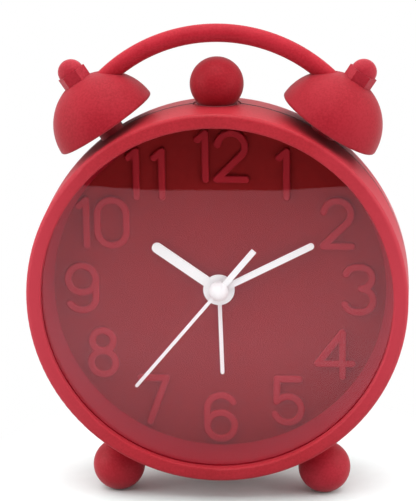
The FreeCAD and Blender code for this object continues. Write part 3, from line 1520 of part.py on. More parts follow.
make_front_shell()
make_rear_cover()
make_lens()
make_dial_ring()
make_dial()
make_front_foot(-1, "foot_front_left")
make_front_foot(1, "foot_front_right")
make_rear_foot()
make_snooze_button()
make_button_spring()
make_button_switch()
for side, name in ((-1, "left"), (1, "right")):
    make_bell(side, f"bell_{name}")
    make_post(side, f"bell_post_{name}")
    make_cap_nut(side, f"cap_nut_{name}")
make_handle()
make_hands()
make_going_train()
make_knob("time_set_knob", time_shaft_x, size("cannon_depth") + size("wheel_thickness"))
make_knob("alarm_set_knob", alarm_shaft_x, size("alarm_wheel_depth") + size("wheel_thickness"))
make_seconds_train()
make_movement_case()
make_motor()
make_board()
make_buzzer()
make_alarm_switch()
make_battery()
make_battery_door()
make_case_screws()

doc.recompute()
for thing in doc.Objects:
    if "Invalid" in thing.State or "Error" in thing.State:
        raise RuntimeError(f"{thing.Name} ({thing.Label}) failed: {thing.State}")
os.makedirs("parts", exist_ok=True)
for thing in nodes:
    shape = thing.Shape
    if shape.isNull() or not shape.isValid() or not shape.Solids:
        raise RuntimeError(f"{thing.Label} has no sound solid")
for thing in nodes:
    shape = thing.Shape
    shape.exportStep(f"parts/{thing.Label}.step")
    box = shape.BoundBox
    print(f"{thing.Label:18s} solids {len(shape.Solids)} volume {shape.Volume:9.2f} "
          f"x {box.XMin:7.2f} {box.XMax:7.2f} y {box.YMin:7.2f} {box.YMax:7.2f} "
          f"z {box.ZMin:7.2f} {box.ZMax:7.2f}")
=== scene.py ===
import math

import bmesh
import bpy
from mathutils import Matrix, Vector


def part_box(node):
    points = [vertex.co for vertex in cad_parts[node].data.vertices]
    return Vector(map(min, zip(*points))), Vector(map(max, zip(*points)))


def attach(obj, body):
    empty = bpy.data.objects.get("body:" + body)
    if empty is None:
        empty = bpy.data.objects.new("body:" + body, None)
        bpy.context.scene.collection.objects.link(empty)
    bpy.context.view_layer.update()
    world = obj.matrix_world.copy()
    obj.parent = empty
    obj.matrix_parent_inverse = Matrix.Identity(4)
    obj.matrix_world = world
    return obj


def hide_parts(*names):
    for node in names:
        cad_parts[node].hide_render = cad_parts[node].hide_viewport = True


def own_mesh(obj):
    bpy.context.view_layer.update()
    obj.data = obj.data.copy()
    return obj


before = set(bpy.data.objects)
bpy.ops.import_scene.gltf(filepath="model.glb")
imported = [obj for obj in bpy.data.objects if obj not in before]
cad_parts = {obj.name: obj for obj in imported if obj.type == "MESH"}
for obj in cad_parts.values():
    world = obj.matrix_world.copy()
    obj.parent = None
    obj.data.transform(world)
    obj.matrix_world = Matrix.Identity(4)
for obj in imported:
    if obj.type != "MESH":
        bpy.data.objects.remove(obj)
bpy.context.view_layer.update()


# Case: a front shell that carries the ring round the lens, and a domed rear cover that plugs into
# it. Both are moulded in red plastic and sprayed with a rubbery soft-touch coat, so they are matt,
# and only turn pale where they are seen edge on.
def linear(code):
    """A colour written as six hex digits, turned to the linear values that a shader takes."""
    values = [int(code[start:start + 2], 16) / 255 for start in (0, 2, 4)]
    return tuple(value / 12.92 if value <= 0.04045 else ((value + 0.055) / 1.055) ** 2.4
                 for value in values) + (1.0,)


def join(made, **links):
    """Sets or links a node's sockets, by name with an underscore for a space, or by number after
    an i. A colour mix takes its share as i0 and its two colours as i6 and i7."""
    for name, value in links.items():
        socket = made.inputs[int(name[1:]) if name[1:].isdigit() else name.replace("_", " ")]
        if isinstance(value, bpy.types.NodeSocket):
            made.id_data.links.new(value, socket)
        else:
            socket.default_value = value
    return made


def node(tree, kind, settings=None, **links):
    """Adds a shader node with its settings and its links."""
    made = tree.nodes.new(kind)
    for field, value in (settings or {}).items():
        setattr(made, field, value)
    return join(made, **links)


def finish(name, roughness, ior=1.46, metallic=0.0):
    """A new material, its node tree, its shader, and the place of each point in metres."""
    material = bpy.data.materials.new(name)
    material.use_nodes = True
    tree = material.node_tree
    shader = join(tree.nodes["Principled BSDF"], Roughness=roughness, Metallic=metallic, IOR=ior)
    return material, tree, shader, node(tree, "ShaderNodeTexCoord").outputs["Object"]


def reopened(material):
    """A finished material's node tree, its shader, the colour so far, and the place of a point."""
    tree = material.node_tree
    shader = tree.nodes["Principled BSDF"]
    colour = shader.inputs["Base Color"].links[0].from_socket
    return tree, shader, colour, node(tree, "ShaderNodeTexCoord").outputs["Object"]


def per_mm(size_mm):
    """The texture scale at which a pattern repeats about every size_mm, on a model in metres."""
    return 1000.0 / size_mm


GRAIN_WEIGHT, DARKEST_SUM, LIGHTEST_SUM, GRAIN_STRENGTH = 1.2, 0.85, 1.35, 0.5
THIN_CLOUD, THICK_CLOUD, GLOSS_SPREAD = 0.3, 0.7, 0.04
SHEEN_ROUGHNESS, SHEEN_TINT = 0.4, "FFDFE2"


def moulded(name, dark, light, roughness, grain_mm, depth_mm, cloud_mm=14.0, gloss_level=0.5,
            sheen=0.0):
    """A moulded or sprayed plastic or rubber. A slow cloud and the grain run between two near
    colours, and the fine texture of the tool or of the spray stands depth_mm high."""
    material, tree, shader, place = finish(name, roughness)
    cloud = node(tree, "ShaderNodeTexNoise", Vector=place, Scale=per_mm(cloud_mm), Detail=3.0)
    grain = node(tree, "ShaderNodeTexNoise", Vector=place, Scale=per_mm(grain_mm), Detail=2.0)
    blend = node(tree, "ShaderNodeMath", {"operation": "MULTIPLY_ADD"}, i0=grain.outputs["Fac"],
                 i1=GRAIN_WEIGHT, i2=cloud.outputs["Fac"])
    share = node(tree, "ShaderNodeMapRange", Value=blend.outputs[0], From_Min=DARKEST_SUM,
                 From_Max=LIGHTEST_SUM)
    tint = node(tree, "ShaderNodeMix", {"data_type": "RGBA"}, i0=share.outputs["Result"],
                i6=linear(dark), i7=linear(light))
    gloss = node(tree, "ShaderNodeMapRange", Value=cloud.outputs["Fac"], From_Min=THIN_CLOUD,
                 From_Max=THICK_CLOUD, To_Min=roughness - GLOSS_SPREAD,
                 To_Max=roughness + GLOSS_SPREAD)
    bump = node(tree, "ShaderNodeBump", Strength=GRAIN_STRENGTH, Distance=depth_mm / 1000,
                Height=grain.outputs["Fac"])
    join(shader, Base_Color=tint.outputs[2], Roughness=gloss.outputs["Result"],
         Normal=bump.outputs["Normal"], Specular_IOR_Level=gloss_level)
    if sheen:
        join(shader, Sheen_Weight=sheen, Sheen_Roughness=SHEEN_ROUGHNESS,
             Sheen_Tint=linear(SHEEN_TINT))
    return material


def dress(material, *names):
    """Gives CAD nodes a material. Their own meshes stay."""
    for name in names:
        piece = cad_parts[name]
        piece.data.materials.clear()
        piece.data.materials.append(material)


# The real coat's grain is about 0.05 mm, too fine to show, so it is drawn ten times as coarse.
COAT = {"dark": "99121F", "light": "A91D2B", "grain_mm": 0.5}
coated = moulded("soft_touch_coat_on_abs", **COAT, roughness=0.55, depth_mm=0.07,
                 gloss_level=0.3, sheen=0.04)
cover_coat = moulded("soft_touch_coat_on_abs_cover", **COAT, roughness=0.5, depth_mm=0.07,
                     gloss_level=0.35, sheen=0.25)

# The two shells meet in a rounded joint, which shows as a dark thread round the case. To the sides
# the coat is painted paler, a painted sheen for the light that falls on them.
SEAM_PLACE, SEAM_HALF_WIDTH, SEAM_DEPTH = -0.006325, 0.0005, 0.0006
SIDE_SHEEN_START, SIDE_SHEEN_END = 0.022, 0.046
for material in (coated, cover_coat):
    tree, shader, coat_colour, place = reopened(material)
    along = node(tree, "ShaderNodeSeparateXYZ", Vector=place)
    off = node(tree, "ShaderNodeMath", {"operation": "SUBTRACT"}, i0=along.outputs["Y"],
               i1=SEAM_PLACE)
    apart = node(tree, "ShaderNodeMath", {"operation": "ABSOLUTE"}, i0=off.outputs[0])
    joint = node(tree, "ShaderNodeMapRange", Value=apart.outputs[0], From_Min=SEAM_HALF_WIDTH / 2,
                 From_Max=SEAM_HALF_WIDTH, To_Min=1.0, To_Max=0.0)
    aside = node(tree, "ShaderNodeMath", {"operation": "ABSOLUTE"}, i0=along.outputs["X"])
    # Painted sheen: towards the sides the coat's colour is mixed paler.
    painted_side_sheen = node(tree, "ShaderNodeMapRange", Value=aside.outputs[0], From_Min=SIDE_SHEEN_START,
                 From_Max=SIDE_SHEEN_END)
    paler = node(tree, "ShaderNodeMix", {"data_type": "RGBA"}, i0=painted_side_sheen.outputs["Result"],
                 i6=coat_colour, i7=linear("B22E3D"))
    tint = node(tree, "ShaderNodeMix", {"data_type": "RGBA"}, i0=joint.outputs["Result"],
                i6=paler.outputs[2], i7=linear("4A0516"))
    groove = node(tree, "ShaderNodeBump", {"invert": True}, Strength=1.0, Distance=SEAM_DEPTH,
                  Height=joint.outputs["Result"],
                  Normal=shader.inputs["Normal"].links[0].from_socket)
    join(shader, Base_Color=tint.outputs[2], Normal=groove.outputs["Normal"])
dress(coated, "front_shell")
dress(cover_coat, "rear_cover")

# Marks on the rear cover: a turning arrow outside each knob, and a stroke and a ring, for on and
# off, beside the alarm switch. They are moulded with the cover and stand a quarter of a millimetre
# out. The tool is polished in the marks, so their faces are smoother and a shade paler.
COVER_BACK, MARK_HEIGHT, MARK_ROUND = 0.017225, 0.0002, 0.00006
TIME_KNOB, ALARM_KNOB, SWITCH = (0.00693, 0.0560), (-0.00873, 0.0560), (0.0, 0.0760)
ARROW_RADIUS, ARROW_WIDTH, HEAD_LENGTH, HEAD_SPREAD = 0.0078, 0.0007, 0.0013, 1.4
ON_INNER, ON_OUTER, MARK_HALF_HEIGHT = 0.0068, 0.0074, 0.0011
OFF_DISTANCE, OFF_HOLE = 0.0094, 0.0006
TIME_SWEEP, ALARM_SWEEP, RING_SWEEP = (-38, 30), (218, 150), (0, 345)
relief = moulded("abs_coated_over_polished_relief", "B5303F", "C03A49", roughness=0.35,
                 grain_mm=0.5, depth_mm=0.02, cloud_mm=6.0, gloss_level=0.4)


def on_circle(middle, radius, angle):
    """The (x, z) point of a circle at an angle in degrees."""
    turn = math.radians(angle)
    return (middle[0] + radius * math.cos(turn), middle[1] + radius * math.sin(turn))


def arc(middle, radius, start, end, steps=24):
    """Points along part of a circle, from one angle to another."""
    return [on_circle(middle, radius, start + (end - start) * step / steps)
            for step in range(steps + 1)]


def arrow(middle, start, end):
    """The outline of a curved arrow whose head starts at the end angle."""
    head_angle = math.degrees(HEAD_LENGTH / ARROW_RADIUS) * (1 if end > start else -1)
    head_half = ARROW_WIDTH * HEAD_SPREAD
    return (arc(middle, ARROW_RADIUS - ARROW_WIDTH / 2, start, end)
            + [on_circle(middle, ARROW_RADIUS - head_half, end),
               on_circle(middle, ARROW_RADIUS, end + head_angle),
               on_circle(middle, ARROW_RADIUS + head_half, end)]
            + arc(middle, ARROW_RADIUS + ARROW_WIDTH / 2, end, start))


def add_object(name, data):
    """Puts a mesh, a lamp or a camera into the scene."""
    made = bpy.data.objects.new(name, data)
    bpy.context.collection.objects.link(made)
    return made


def raised_mark(name, *loops):
    """A flat mark with softened edges on the back of the cover, from its closed outlines."""
    shape = bpy.data.curves.new(name, "CURVE")
    shape.dimensions, shape.fill_mode = "2D", "BOTH"
    shape.extrude, shape.bevel_depth = MARK_HEIGHT, MARK_ROUND
    for loop in loops:
        spline = shape.splines.new("POLY")
        spline.points.add(len(loop) - 1)
        for point, (x, z) in zip(spline.points, loop):
            point.co = (x, z, 0, 1)
        spline.use_cyclic_u = True
    pattern = bpy.data.objects.new(name + "_pattern", shape)
    mesh = bpy.data.meshes.new_from_object(pattern)
    bpy.data.objects.remove(pattern)
    upright = Matrix.Rotation(math.radians(90), 4, "X")
    mesh.transform(Matrix.Translation((0, COVER_BACK, 0)) @ upright)
    mesh.materials.clear()
    mesh.materials.append(relief)
    made = add_object(name, mesh)
    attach(made, "clock")


raised_mark("time_arrow", arrow(TIME_KNOB, *TIME_SWEEP))
raised_mark("alarm_arrow", arrow(ALARM_KNOB, *ALARM_SWEEP))
raised_mark("switch_on_mark", [(SWITCH[0] + x, SWITCH[1] + z) for x, z in (
    (ON_INNER, -MARK_HALF_HEIGHT), (ON_OUTER, -MARK_HALF_HEIGHT),
    (ON_OUTER, MARK_HALF_HEIGHT), (ON_INNER, MARK_HALF_HEIGHT))])
off_middle = (SWITCH[0] - OFF_DISTANCE, SWITCH[1])
raised_mark("switch_off_mark", arc(off_middle, MARK_HALF_HEIGHT, *RING_SWEEP),
            arc(off_middle, OFF_HOLE, *RING_SWEEP))

# Battery door: a plate of the same coated plastic, clipped into the rear cover over the cell.
# Fingers and its own flexing leave it a trace smoother than the cover.
dress(moulded("soft_touch_coat_handled", **COAT, roughness=0.45, depth_mm=0.06,
              gloss_level=0.35, sheen=0.2), "battery_door")

# Case screws: four cross-slot screws of zinc-plated steel that draw the rear cover onto the dial's
# posts. The plating has a soft grey shine with a faint mottle.
PLATED_SPREAD, PLATED_STRENGTH, PLATED_DEPTH = 0.1, 0.3, 0.00001


def plated(name, dark, light, roughness, across_mm, along_mm):
    """Plated or rolled metal: marks that are across_mm apart and along_mm long, along Z."""
    material, tree, shader, place = finish(name, roughness, ior=1.5, metallic=1.0)
    stretch = node(tree, "ShaderNodeMapping", Vector=place,
                   Scale=(per_mm(across_mm), per_mm(across_mm), per_mm(along_mm)))
    lines = node(tree, "ShaderNodeTexNoise", Vector=stretch.outputs["Vector"], Scale=1.0,
                 Detail=4.0)
    tint = node(tree, "ShaderNodeMix", {"data_type": "RGBA"}, i0=lines.outputs["Fac"],
                i6=linear(dark), i7=linear(light))
    gloss = node(tree, "ShaderNodeMapRange", Value=lines.outputs["Fac"],
                 To_Min=roughness - PLATED_SPREAD, To_Max=roughness + PLATED_SPREAD)
    bump = node(tree, "ShaderNodeBump", Strength=PLATED_STRENGTH, Distance=PLATED_DEPTH,
                Height=lines.outputs["Fac"])
    join(shader, Base_Color=tint.outputs[2], Roughness=gloss.outputs["Result"],
         Normal=bump.outputs["Normal"])
    return material


dress(plated("steel_zinc_plated", "9A9B9C", "C6C7C8", roughness=0.35, across_mm=0.4,
             along_mm=0.4), "case_screws")

# Dial: one disc of satin red plastic with the twelve numbers standing 0.9 mm out of it. Their
# faces are coloured a touch lighter than the ground.
# The satin is too fine to show through the lens and is drawn as a slow, very low unevenness.
LIGHTER_FROM, LIGHTER_TO = -0.0070, -0.00775
dial_red = moulded("polypropylene_moulded_satin", "7B1718", "7F191A", roughness=0.6, grain_mm=1.5,
                   depth_mm=0.004, cloud_mm=20.0, gloss_level=0.03)
tree, shader, ground, place = reopened(dial_red)
forward = node(tree, "ShaderNodeSeparateXYZ", Vector=place)
raised = node(tree, "ShaderNodeMapRange", Value=forward.outputs["Y"], From_Min=LIGHTER_FROM,
              From_Max=LIGHTER_TO)
tint = node(tree, "ShaderNodeMix", {"data_type": "RGBA"}, i0=raised.outputs["Result"], i6=ground,
            i7=linear("982029"))
join(shader, Base_Color=tint.outputs[2])
dress(dial_red, "dial")

# Dial ring: the sloping red band between the lens and the dial, moulded as a separate hoop in the
# dial's plastic. It is a little lighter than the dial, and as dull.
dress(moulded("polypropylene_moulded_dull", "88121F", "8D1522", roughness=0.6, grain_mm=1.5,
              depth_mm=0.004, gloss_level=0.05), "dial_ring")

# Lens: a disc of clear acrylic, polished on both faces and pressed into the ring. The eye gets a
# clear view of the dial, under a weak mirror image of the table in front of the clock.
SMEAR_MM = 25.0
acrylic, tree, shader, place = finish("acrylic_cast_polished", roughness=0.0, ior=1.49)
smear = node(tree, "ShaderNodeTexNoise", Vector=place, Scale=per_mm(SMEAR_MM), Detail=2.0)
clear = node(tree, "ShaderNodeMix", {"data_type": "RGBA"}, i0=smear.outputs["Fac"],
             i6=linear("FDFEFE"), i7=linear("FFFFFF"))
# The reflection is tinted pink, a painted tint for the clock's red light on the table that the
# lens mirrors.
join(shader, Base_Color=clear.outputs[2], Transmission_Weight=1.0, Specular_Tint=linear("FFAEBC"))
# Light on its way to the dial passes the lens straight, as through any thin clear sheet.
through = node(tree, "ShaderNodeBsdfTransparent", Color=linear("FFFFFF"))
ray = node(tree, "ShaderNodeLightPath")
passing = node(tree, "ShaderNodeMath", {"operation": "MAXIMUM"}, i0=ray.outputs["Is Shadow Ray"],
               i1=ray.outputs["Is Diffuse Ray"])
surface = node(tree, "ShaderNodeMixShader", i0=passing.outputs[0], i1=shader.outputs[0],
               i2=through.outputs[0])
join(tree.nodes["Material Output"], Surface=surface.outputs[0])
dress(acrylic, "lens")

# Movement case and bridge: a shallow box and its lid in black styrene, with a plate between the
# two gear layers. Spark erosion in the tool makes it evenly matt. Its pits are drawn several times
# as coarse, so that they show.
dress(moulded("polystyrene_spark_textured", "18181A", "232326", roughness=0.48, grain_mm=0.3,
              depth_mm=0.02), "movement_front", "movement_back", "bridge_plate")

# Alarm slide switch and the small push switch for the snooze: dark glass-filled nylon housings
# with tiny pale fibres in the surface.
dress(moulded("nylon_glass_filled", "1D1E20", "3A3B3D", roughness=0.55, grain_mm=0.25,
              depth_mm=0.01, cloud_mm=4.0), "slide_switch", "snooze_switch")

# Gears: eight wheels and pinions of natural acetal on the movement's arbors, the rotor's among
# them. Acetal is waxy white and lets a little light in, so the teeth look soft.
acetal = moulded("acetal_natural_moulded", "E4E1D6", "F2F0E8", roughness=0.36, grain_mm=0.5,
                 depth_mm=0.006, cloud_mm=5.0)
join(acetal.node_tree.nodes["Principled BSDF"], Subsurface_Weight=0.15, Subsurface_Scale=0.0006)
dress(acetal, "alarm_wheel", "hour_wheel", "cannon_pinion", "minute_wheel", "alarm_pinion",
      "seconds_wheel", "third_wheel")

# Rotor: an acetal pinion moulded round a small sintered magnet. The magnet is the dark grey end.
MAGNET_START = 0.0055
rotor = acetal.copy()
rotor.name = "acetal_round_sintered_magnet"
tree, shader, white_part, place = reopened(rotor)
along = node(tree, "ShaderNodeSeparateXYZ", Vector=place)
behind = node(tree, "ShaderNodeMath", {"operation": "GREATER_THAN"}, i0=along.outputs["Y"],
              i1=MAGNET_START)
tint = node(tree, "ShaderNodeMix", {"data_type": "RGBA"}, i0=behind.outputs[0], i6=white_part,
            i7=linear("4A4B4E"))
join(shader, Base_Color=tint.outputs[2])
dress(rotor, "rotor")

# Stator: two soft-iron blades punched from sheet, with the coil's core between them. Rolling
# leaves fine lines in the sheet, and annealing a faint straw stain.
dress(plated("iron_punched_annealed", "8B877E", "B8B3A6", roughness=0.4, across_mm=0.15,
             along_mm=3.0), "stator")

# Motor coil: enamelled copper wire, 0.1 mm thick, wound in close turns along the core. The turns
# are drawn four times as thick, so that they show. A wave texture of scale 1 has 10 / pi waves to
# a unit.
TURN_MM, WAVES_A_UNIT = 0.39458, 10 / math.pi
copper, tree, shader, place = finish("copper_enamelled_wound", roughness=0.3, ior=1.5,
                                     metallic=1.0)
turns = node(tree, "ShaderNodeTexWave", {"wave_type": "BANDS", "bands_direction": "X"},
             Vector=place, Scale=per_mm(TURN_MM) / WAVES_A_UNIT, Distortion=0.4, Detail_Scale=2.0)
tint = node(tree, "ShaderNodeMix", {"data_type": "RGBA"}, i0=turns.outputs["Fac"],
            i6=linear("8A3F1C"), i7=linear("D08550"))
bump = node(tree, "ShaderNodeBump", Strength=0.8, Distance=0.00005, Height=turns.outputs["Fac"])
join(shader, Base_Color=tint.outputs[2], Normal=bump.outputs["Normal"], Coat_Weight=0.6)
dress(copper, "motor_coil")

# Circuit boards: glass-fibre laminate under green solder mask. Copper tracks show as paler green
# lines, and on the clock's board the chip sits under a blob of black epoxy.
CHIP_FRONT, TRACK_UNIT_MM = 0.0067, 1.0
for name, board in (("glass_fibre_solder_masked", "circuit_board"),
                    ("glass_fibre_solder_masked_plain", "switch_board")):
    mask, tree, shader, place = finish(name, roughness=0.32, ior=1.5)
    upright = node(tree, "ShaderNodeMapping", Vector=place, Rotation=(math.radians(90), 0, 0))
    tracks = node(tree, "ShaderNodeTexBrick", {"offset": 0.37, "squash": 1.6},
                  Vector=upright.outputs["Vector"], Scale=per_mm(TRACK_UNIT_MM),
                  Color1=linear("0E4A26"), Color2=linear("125A2E"), Mortar=linear("3C8A50"),
                  Mortar_Size=0.035, Brick_Width=2.4, Row_Height=1.3)
    bump = node(tree, "ShaderNodeBump", Strength=0.4, Distance=0.00003,
                Height=tracks.outputs["Fac"])
    join(shader, Base_Color=tracks.outputs["Color"], Normal=bump.outputs["Normal"])
    if board == "circuit_board":
        along = node(tree, "ShaderNodeSeparateXYZ", Vector=place)
        blob = node(tree, "ShaderNodeMath", {"operation": "LESS_THAN"}, i0=along.outputs["Y"],
                    i1=CHIP_FRONT)
        tint = node(tree, "ShaderNodeMix", {"data_type": "RGBA"}, i0=blob.outputs[0],
                    i6=tracks.outputs["Color"], i7=linear("101012"))
        join(shader, Base_Color=tint.outputs[2])
    dress(mask, board)

# Quartz crystal: a drawn tin-plated can beside the chip, with faint draw lines up its sides.
dress(plated("tin_plated_can", "A9ACAE", "D4D6D8", roughness=0.25, across_mm=0.1, along_mm=2.0),
      "quartz_crystal")

# Buzzer: a piezo disc under a black plastic cap, glued to the inside of the rear cover.
# Its face has the low rings of the turned tool.
BUZZER_MIDDLE, TOOL_RING_MM = (0.019, 0.0, 0.067), 2.3675
capsule, tree, shader, place = finish("pbt_turned_tool_rings", roughness=0.4)
about = node(tree, "ShaderNodeVectorMath", {"operation": "SUBTRACT"}, i0=place, i1=BUZZER_MIDDLE)
rings = node(tree, "ShaderNodeTexWave", {"wave_type": "RINGS", "rings_direction": "Y"},
             Vector=about.outputs["Vector"], Scale=per_mm(TOOL_RING_MM) / WAVES_A_UNIT,
             Distortion=0.0)
tint = node(tree, "ShaderNodeMix", {"data_type": "RGBA"}, i0=rings.outputs["Fac"],
            i6=linear("17171A"), i7=linear("242428"))
bump = node(tree, "ShaderNodeBump", Strength=0.5, Distance=0.00008, Height=rings.outputs["Fac"])
join(shader, Base_Color=tint.outputs[2], Normal=bump.outputs["Normal"])
dress(capsule, "buzzer")

# Battery: one AA cell in a plain printed film sleeve, with bare nickel at both ends. The sleeve is
# dark blue-grey with one pale band and carries no words.
CELL_START, CELL_END, BAND_START, BAND_END = -0.0225, 0.0245, 0.0150, 0.0165
SPECKLE_MM = 1.5
cell, tree, shader, place = finish("film_sleeve_on_nickelled_can", roughness=0.28, ior=1.5)
length = node(tree, "ShaderNodeSeparateXYZ", Vector=place).outputs["X"]
left_end = node(tree, "ShaderNodeMath", {"operation": "LESS_THAN"}, i0=length, i1=CELL_START)
right_end = node(tree, "ShaderNodeMath", {"operation": "GREATER_THAN"}, i0=length, i1=CELL_END)
bare = node(tree, "ShaderNodeMath", {"operation": "MAXIMUM"}, i0=left_end.outputs[0],
            i1=right_end.outputs[0])
after = node(tree, "ShaderNodeMath", {"operation": "GREATER_THAN"}, i0=length, i1=BAND_START)
before = node(tree, "ShaderNodeMath", {"operation": "LESS_THAN"}, i0=length, i1=BAND_END)
band = node(tree, "ShaderNodeMath", {"operation": "MULTIPLY"}, i0=after.outputs[0],
            i1=before.outputs[0])
speckle = node(tree, "ShaderNodeTexNoise", Vector=place, Scale=per_mm(SPECKLE_MM), Detail=3.0)
film = node(tree, "ShaderNodeMix", {"data_type": "RGBA"}, i0=speckle.outputs["Fac"],
            i6=linear("252A33"), i7=linear("2F3540"))
striped = node(tree, "ShaderNodeMix", {"data_type": "RGBA"}, i0=band.outputs[0],
               i6=film.outputs[2], i7=linear("C9CDD2"))
tint = node(tree, "ShaderNodeMix", {"data_type": "RGBA"}, i0=bare.outputs[0],
            i6=striped.outputs[2], i7=linear("BDBBB4"))
join(shader, Base_Color=tint.outputs[2], Metallic=bare.outputs[0])
dress(cell, "battery")

# Contacts: strips of spring steel, stamped, bent and nickel-plated. The plating is bright, with
# short rolling marks.
nickelled = plated("spring_steel_nickel_plated", "A8A59D", "D6D3CB", roughness=0.28,
                   across_mm=0.2, along_mm=1.5)
dress(nickelled, "contact_plus", "contact_minus")

# Spring of the snooze button: a coil of nickel-plated wire between a shelf in the case and the
# flange on the button's stem. It stands on the shelf, and closes up as the button goes down.
WIRE_RADIUS, SPRING_TURNS, STEPS_A_TURN, WIRE_SIDES = 0.0002, 4, 32, 12


def add_solid(name, shape, material):
    """Makes a piece from a closed bmesh, with the outsides of its faces turned outwards."""
    bmesh.ops.recalc_face_normals(shape, faces=shape.faces)
    mesh = bpy.data.meshes.new(name)
    shape.to_mesh(mesh)
    shape.free()
    mesh.materials.append(material)
    return add_object(name, mesh)


low, high = (Vector(corner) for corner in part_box("button_spring"))
middle = (low + high) / 2
coil_radius = (high.x - low.x) / 2 - WIRE_RADIUS
rise = high.z - low.z - 2 * WIRE_RADIUS
coil_steps = SPRING_TURNS * STEPS_A_TURN
coil = bmesh.new()
rings = []
for step in range(coil_steps + 1):
    turn = 2 * math.pi * step / STEPS_A_TURN
    outward = Vector((math.cos(turn), math.sin(turn), 0))
    height = low.z + WIRE_RADIUS + rise * step / coil_steps
    centre = Vector((middle.x, middle.y, height)) + coil_radius * outward
    ring = []
    for side in range(WIRE_SIDES):
        angle = 2 * math.pi * side / WIRE_SIDES
        lean = math.cos(angle) * outward + math.sin(angle) * Vector((0, 0, 1))
        ring.append(coil.verts.new(centre + WIRE_RADIUS * lean))
    rings.append(ring)
for here, following in zip(rings, rings[1:]):
    for side in range(WIRE_SIDES):
        beside = (side + 1) % WIRE_SIDES
        face = coil.faces.new((here[side], here[beside], following[beside], following[side]))
        face.smooth = True
coil.faces.new(rings[0])
coil.faces.new(rings[-1])
spring = add_solid("button_spring_coil", coil, nickelled)
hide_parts("button_spring")
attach(spring, "clock")
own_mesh(spring)

# Setting knobs and the alarm switch's slider: black plastic that fingers touch from behind. It is
# moulded with a matt texture so that it grips, and the texture is drawn coarser, so that it shows.
dress(moulded("abs_black_spark_textured", "0F0F11", "18181A", roughness=0.55, grain_mm=0.3,
              depth_mm=0.03), "time_set_knob", "alarm_set_knob", "alarm_switch")

# Hands: strips stamped from thin aluminium and sprayed white. The paint has a slight orange peel,
# and the alarm hand, lowest of the four, is sprayed a shade greyer; the faint pink in its colour
# is painted light from the red dial just under it.
PEEL_MM = 0.6


def sprayed(name, dark, light):
    """White paint on stamped sheet, with the soft unevenness of a sprayed coat."""
    material, tree, shader, place = finish(name, roughness=0.4, ior=1.5)
    peel = node(tree, "ShaderNodeTexNoise", Vector=place, Scale=per_mm(PEEL_MM), Detail=1.0)
    tint = node(tree, "ShaderNodeMix", {"data_type": "RGBA"}, i0=peel.outputs["Fac"],
                i6=linear(dark), i7=linear(light))
    bump = node(tree, "ShaderNodeBump", Strength=0.1, Distance=0.00002, Height=peel.outputs["Fac"])
    join(shader, Base_Color=tint.outputs[2], Normal=bump.outputs["Normal"])
    return material


dress(sprayed("white_paint_on_aluminium", "EAEAEC", "F2F1F3"), "hour_hand", "minute_hand",
      "second_hand")
# Painted light: the pink in the alarm hand's colour stands for red light from the dial.
dress(sprayed("pale_grey_paint_on_aluminium", "EDE6E9", "F4EEF0"), "alarm_hand")

# Feet and snooze button: balls of solid silicone rubber, pegged into the case. The three feet
# carry the clock, and their rubber is painted paler than the button's, as painted light against
# the shade low down under the clock; the fourth ball is the button. The rubber is matt and picks
# up a pale bloom at its edges. Its blasted grain is drawn coarser, so that it shows.
RUBBER = {"roughness": 0.55, "grain_mm": 0.5, "depth_mm": 0.07}
button_rubber = moulded("silicone_moulded_blasted", "8A101C", "9A1A26", **RUBBER, cloud_mm=9.0,
                        gloss_level=0.12, sheen=0.16)
dress(button_rubber, "snooze_button")
# Painted light: the feet's rubber is coloured paler than the button's, against the shade they
# stand in.
dress(moulded("silicone_moulded_blasted_painted_paler", "9F1825", "AF2434", **RUBBER, cloud_mm=9.0,
              gloss_level=0.2, sheen=0.2), "foot_front_left", "foot_front_right", "foot_rear")

# Collar of the snooze button: a thin skirt of the ball's rubber that fills the hole in the case,
# so that no dust falls in. It follows the curve of the case, and sinks into the hole with the
# ball. Its section is given as radius and drop below the case, with 0 for the ball's own wall.
CASE_RADIUS, BALL_RADIUS, BALL_CENTRE, AXIS_HEIGHT = 0.0463, 0.00648, 0.0508, 0.0520008
COLLAR_SECTION = ((0.0, 0.0001), (0.00545, 0.0001), (0.0056, 0.0002), (0.0056, 0.0009),
                  (0.0, 0.0009))
COLLAR_STEPS, FLAT_BANDS, WALL_ROUNDS = 72, (0, 3), 12


def collar_point(turn, radius, drop):
    """A point of the collar. On the ball's wall, a few rounds settle where it meets the drop."""
    reach = radius or BALL_RADIUS
    for _ in range(1 if radius else WALL_ROUNDS):
        height = math.sqrt(CASE_RADIUS ** 2 - (reach * math.cos(turn)) ** 2) - drop
        reach = radius or math.sqrt(BALL_RADIUS ** 2 - (BALL_CENTRE - height) ** 2)
    return (reach * math.cos(turn), SEAM_PLACE + reach * math.sin(turn), AXIS_HEIGHT + height)


skirt = bmesh.new()
rows = []
for step in range(COLLAR_STEPS):
    turn = 2 * math.pi * step / COLLAR_STEPS
    rows.append([skirt.verts.new(collar_point(turn, *point)) for point in COLLAR_SECTION])
for here, following in zip(rows, rows[1:] + rows[:1]):
    for band in range(len(COLLAR_SECTION)):
        beside = (band + 1) % len(COLLAR_SECTION)
        face = skirt.faces.new((here[band], following[band], following[beside], here[beside]))
        face.smooth = band in FLAT_BANDS
collar = add_solid("button_collar", skirt, button_rubber)
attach(collar, "snooze")

# Bells: two half-balls of the same silicone over their posts, mute and soft, each held by a
# hexagonal nut with a domed top. The posts are stiffer, in coated plastic.
dress(moulded("silicone_moulded_thick", "8D1521", "9C1E2B", **RUBBER, cloud_mm=12.0,
              gloss_level=0.12, sheen=0.18), "bell_left", "bell_right")
# The nuts' rubber is painted paler than the bells': painted light on their tops, which face up and
# forward.
dress(moulded("silicone_moulded_nut_painted_paler", "981E2B", "A82836", **RUBBER, cloud_mm=6.0,
              gloss_level=0.12, sheen=0.25), "cap_nut_left", "cap_nut_right")
dress(coated, "bell_post_left", "bell_post_right")

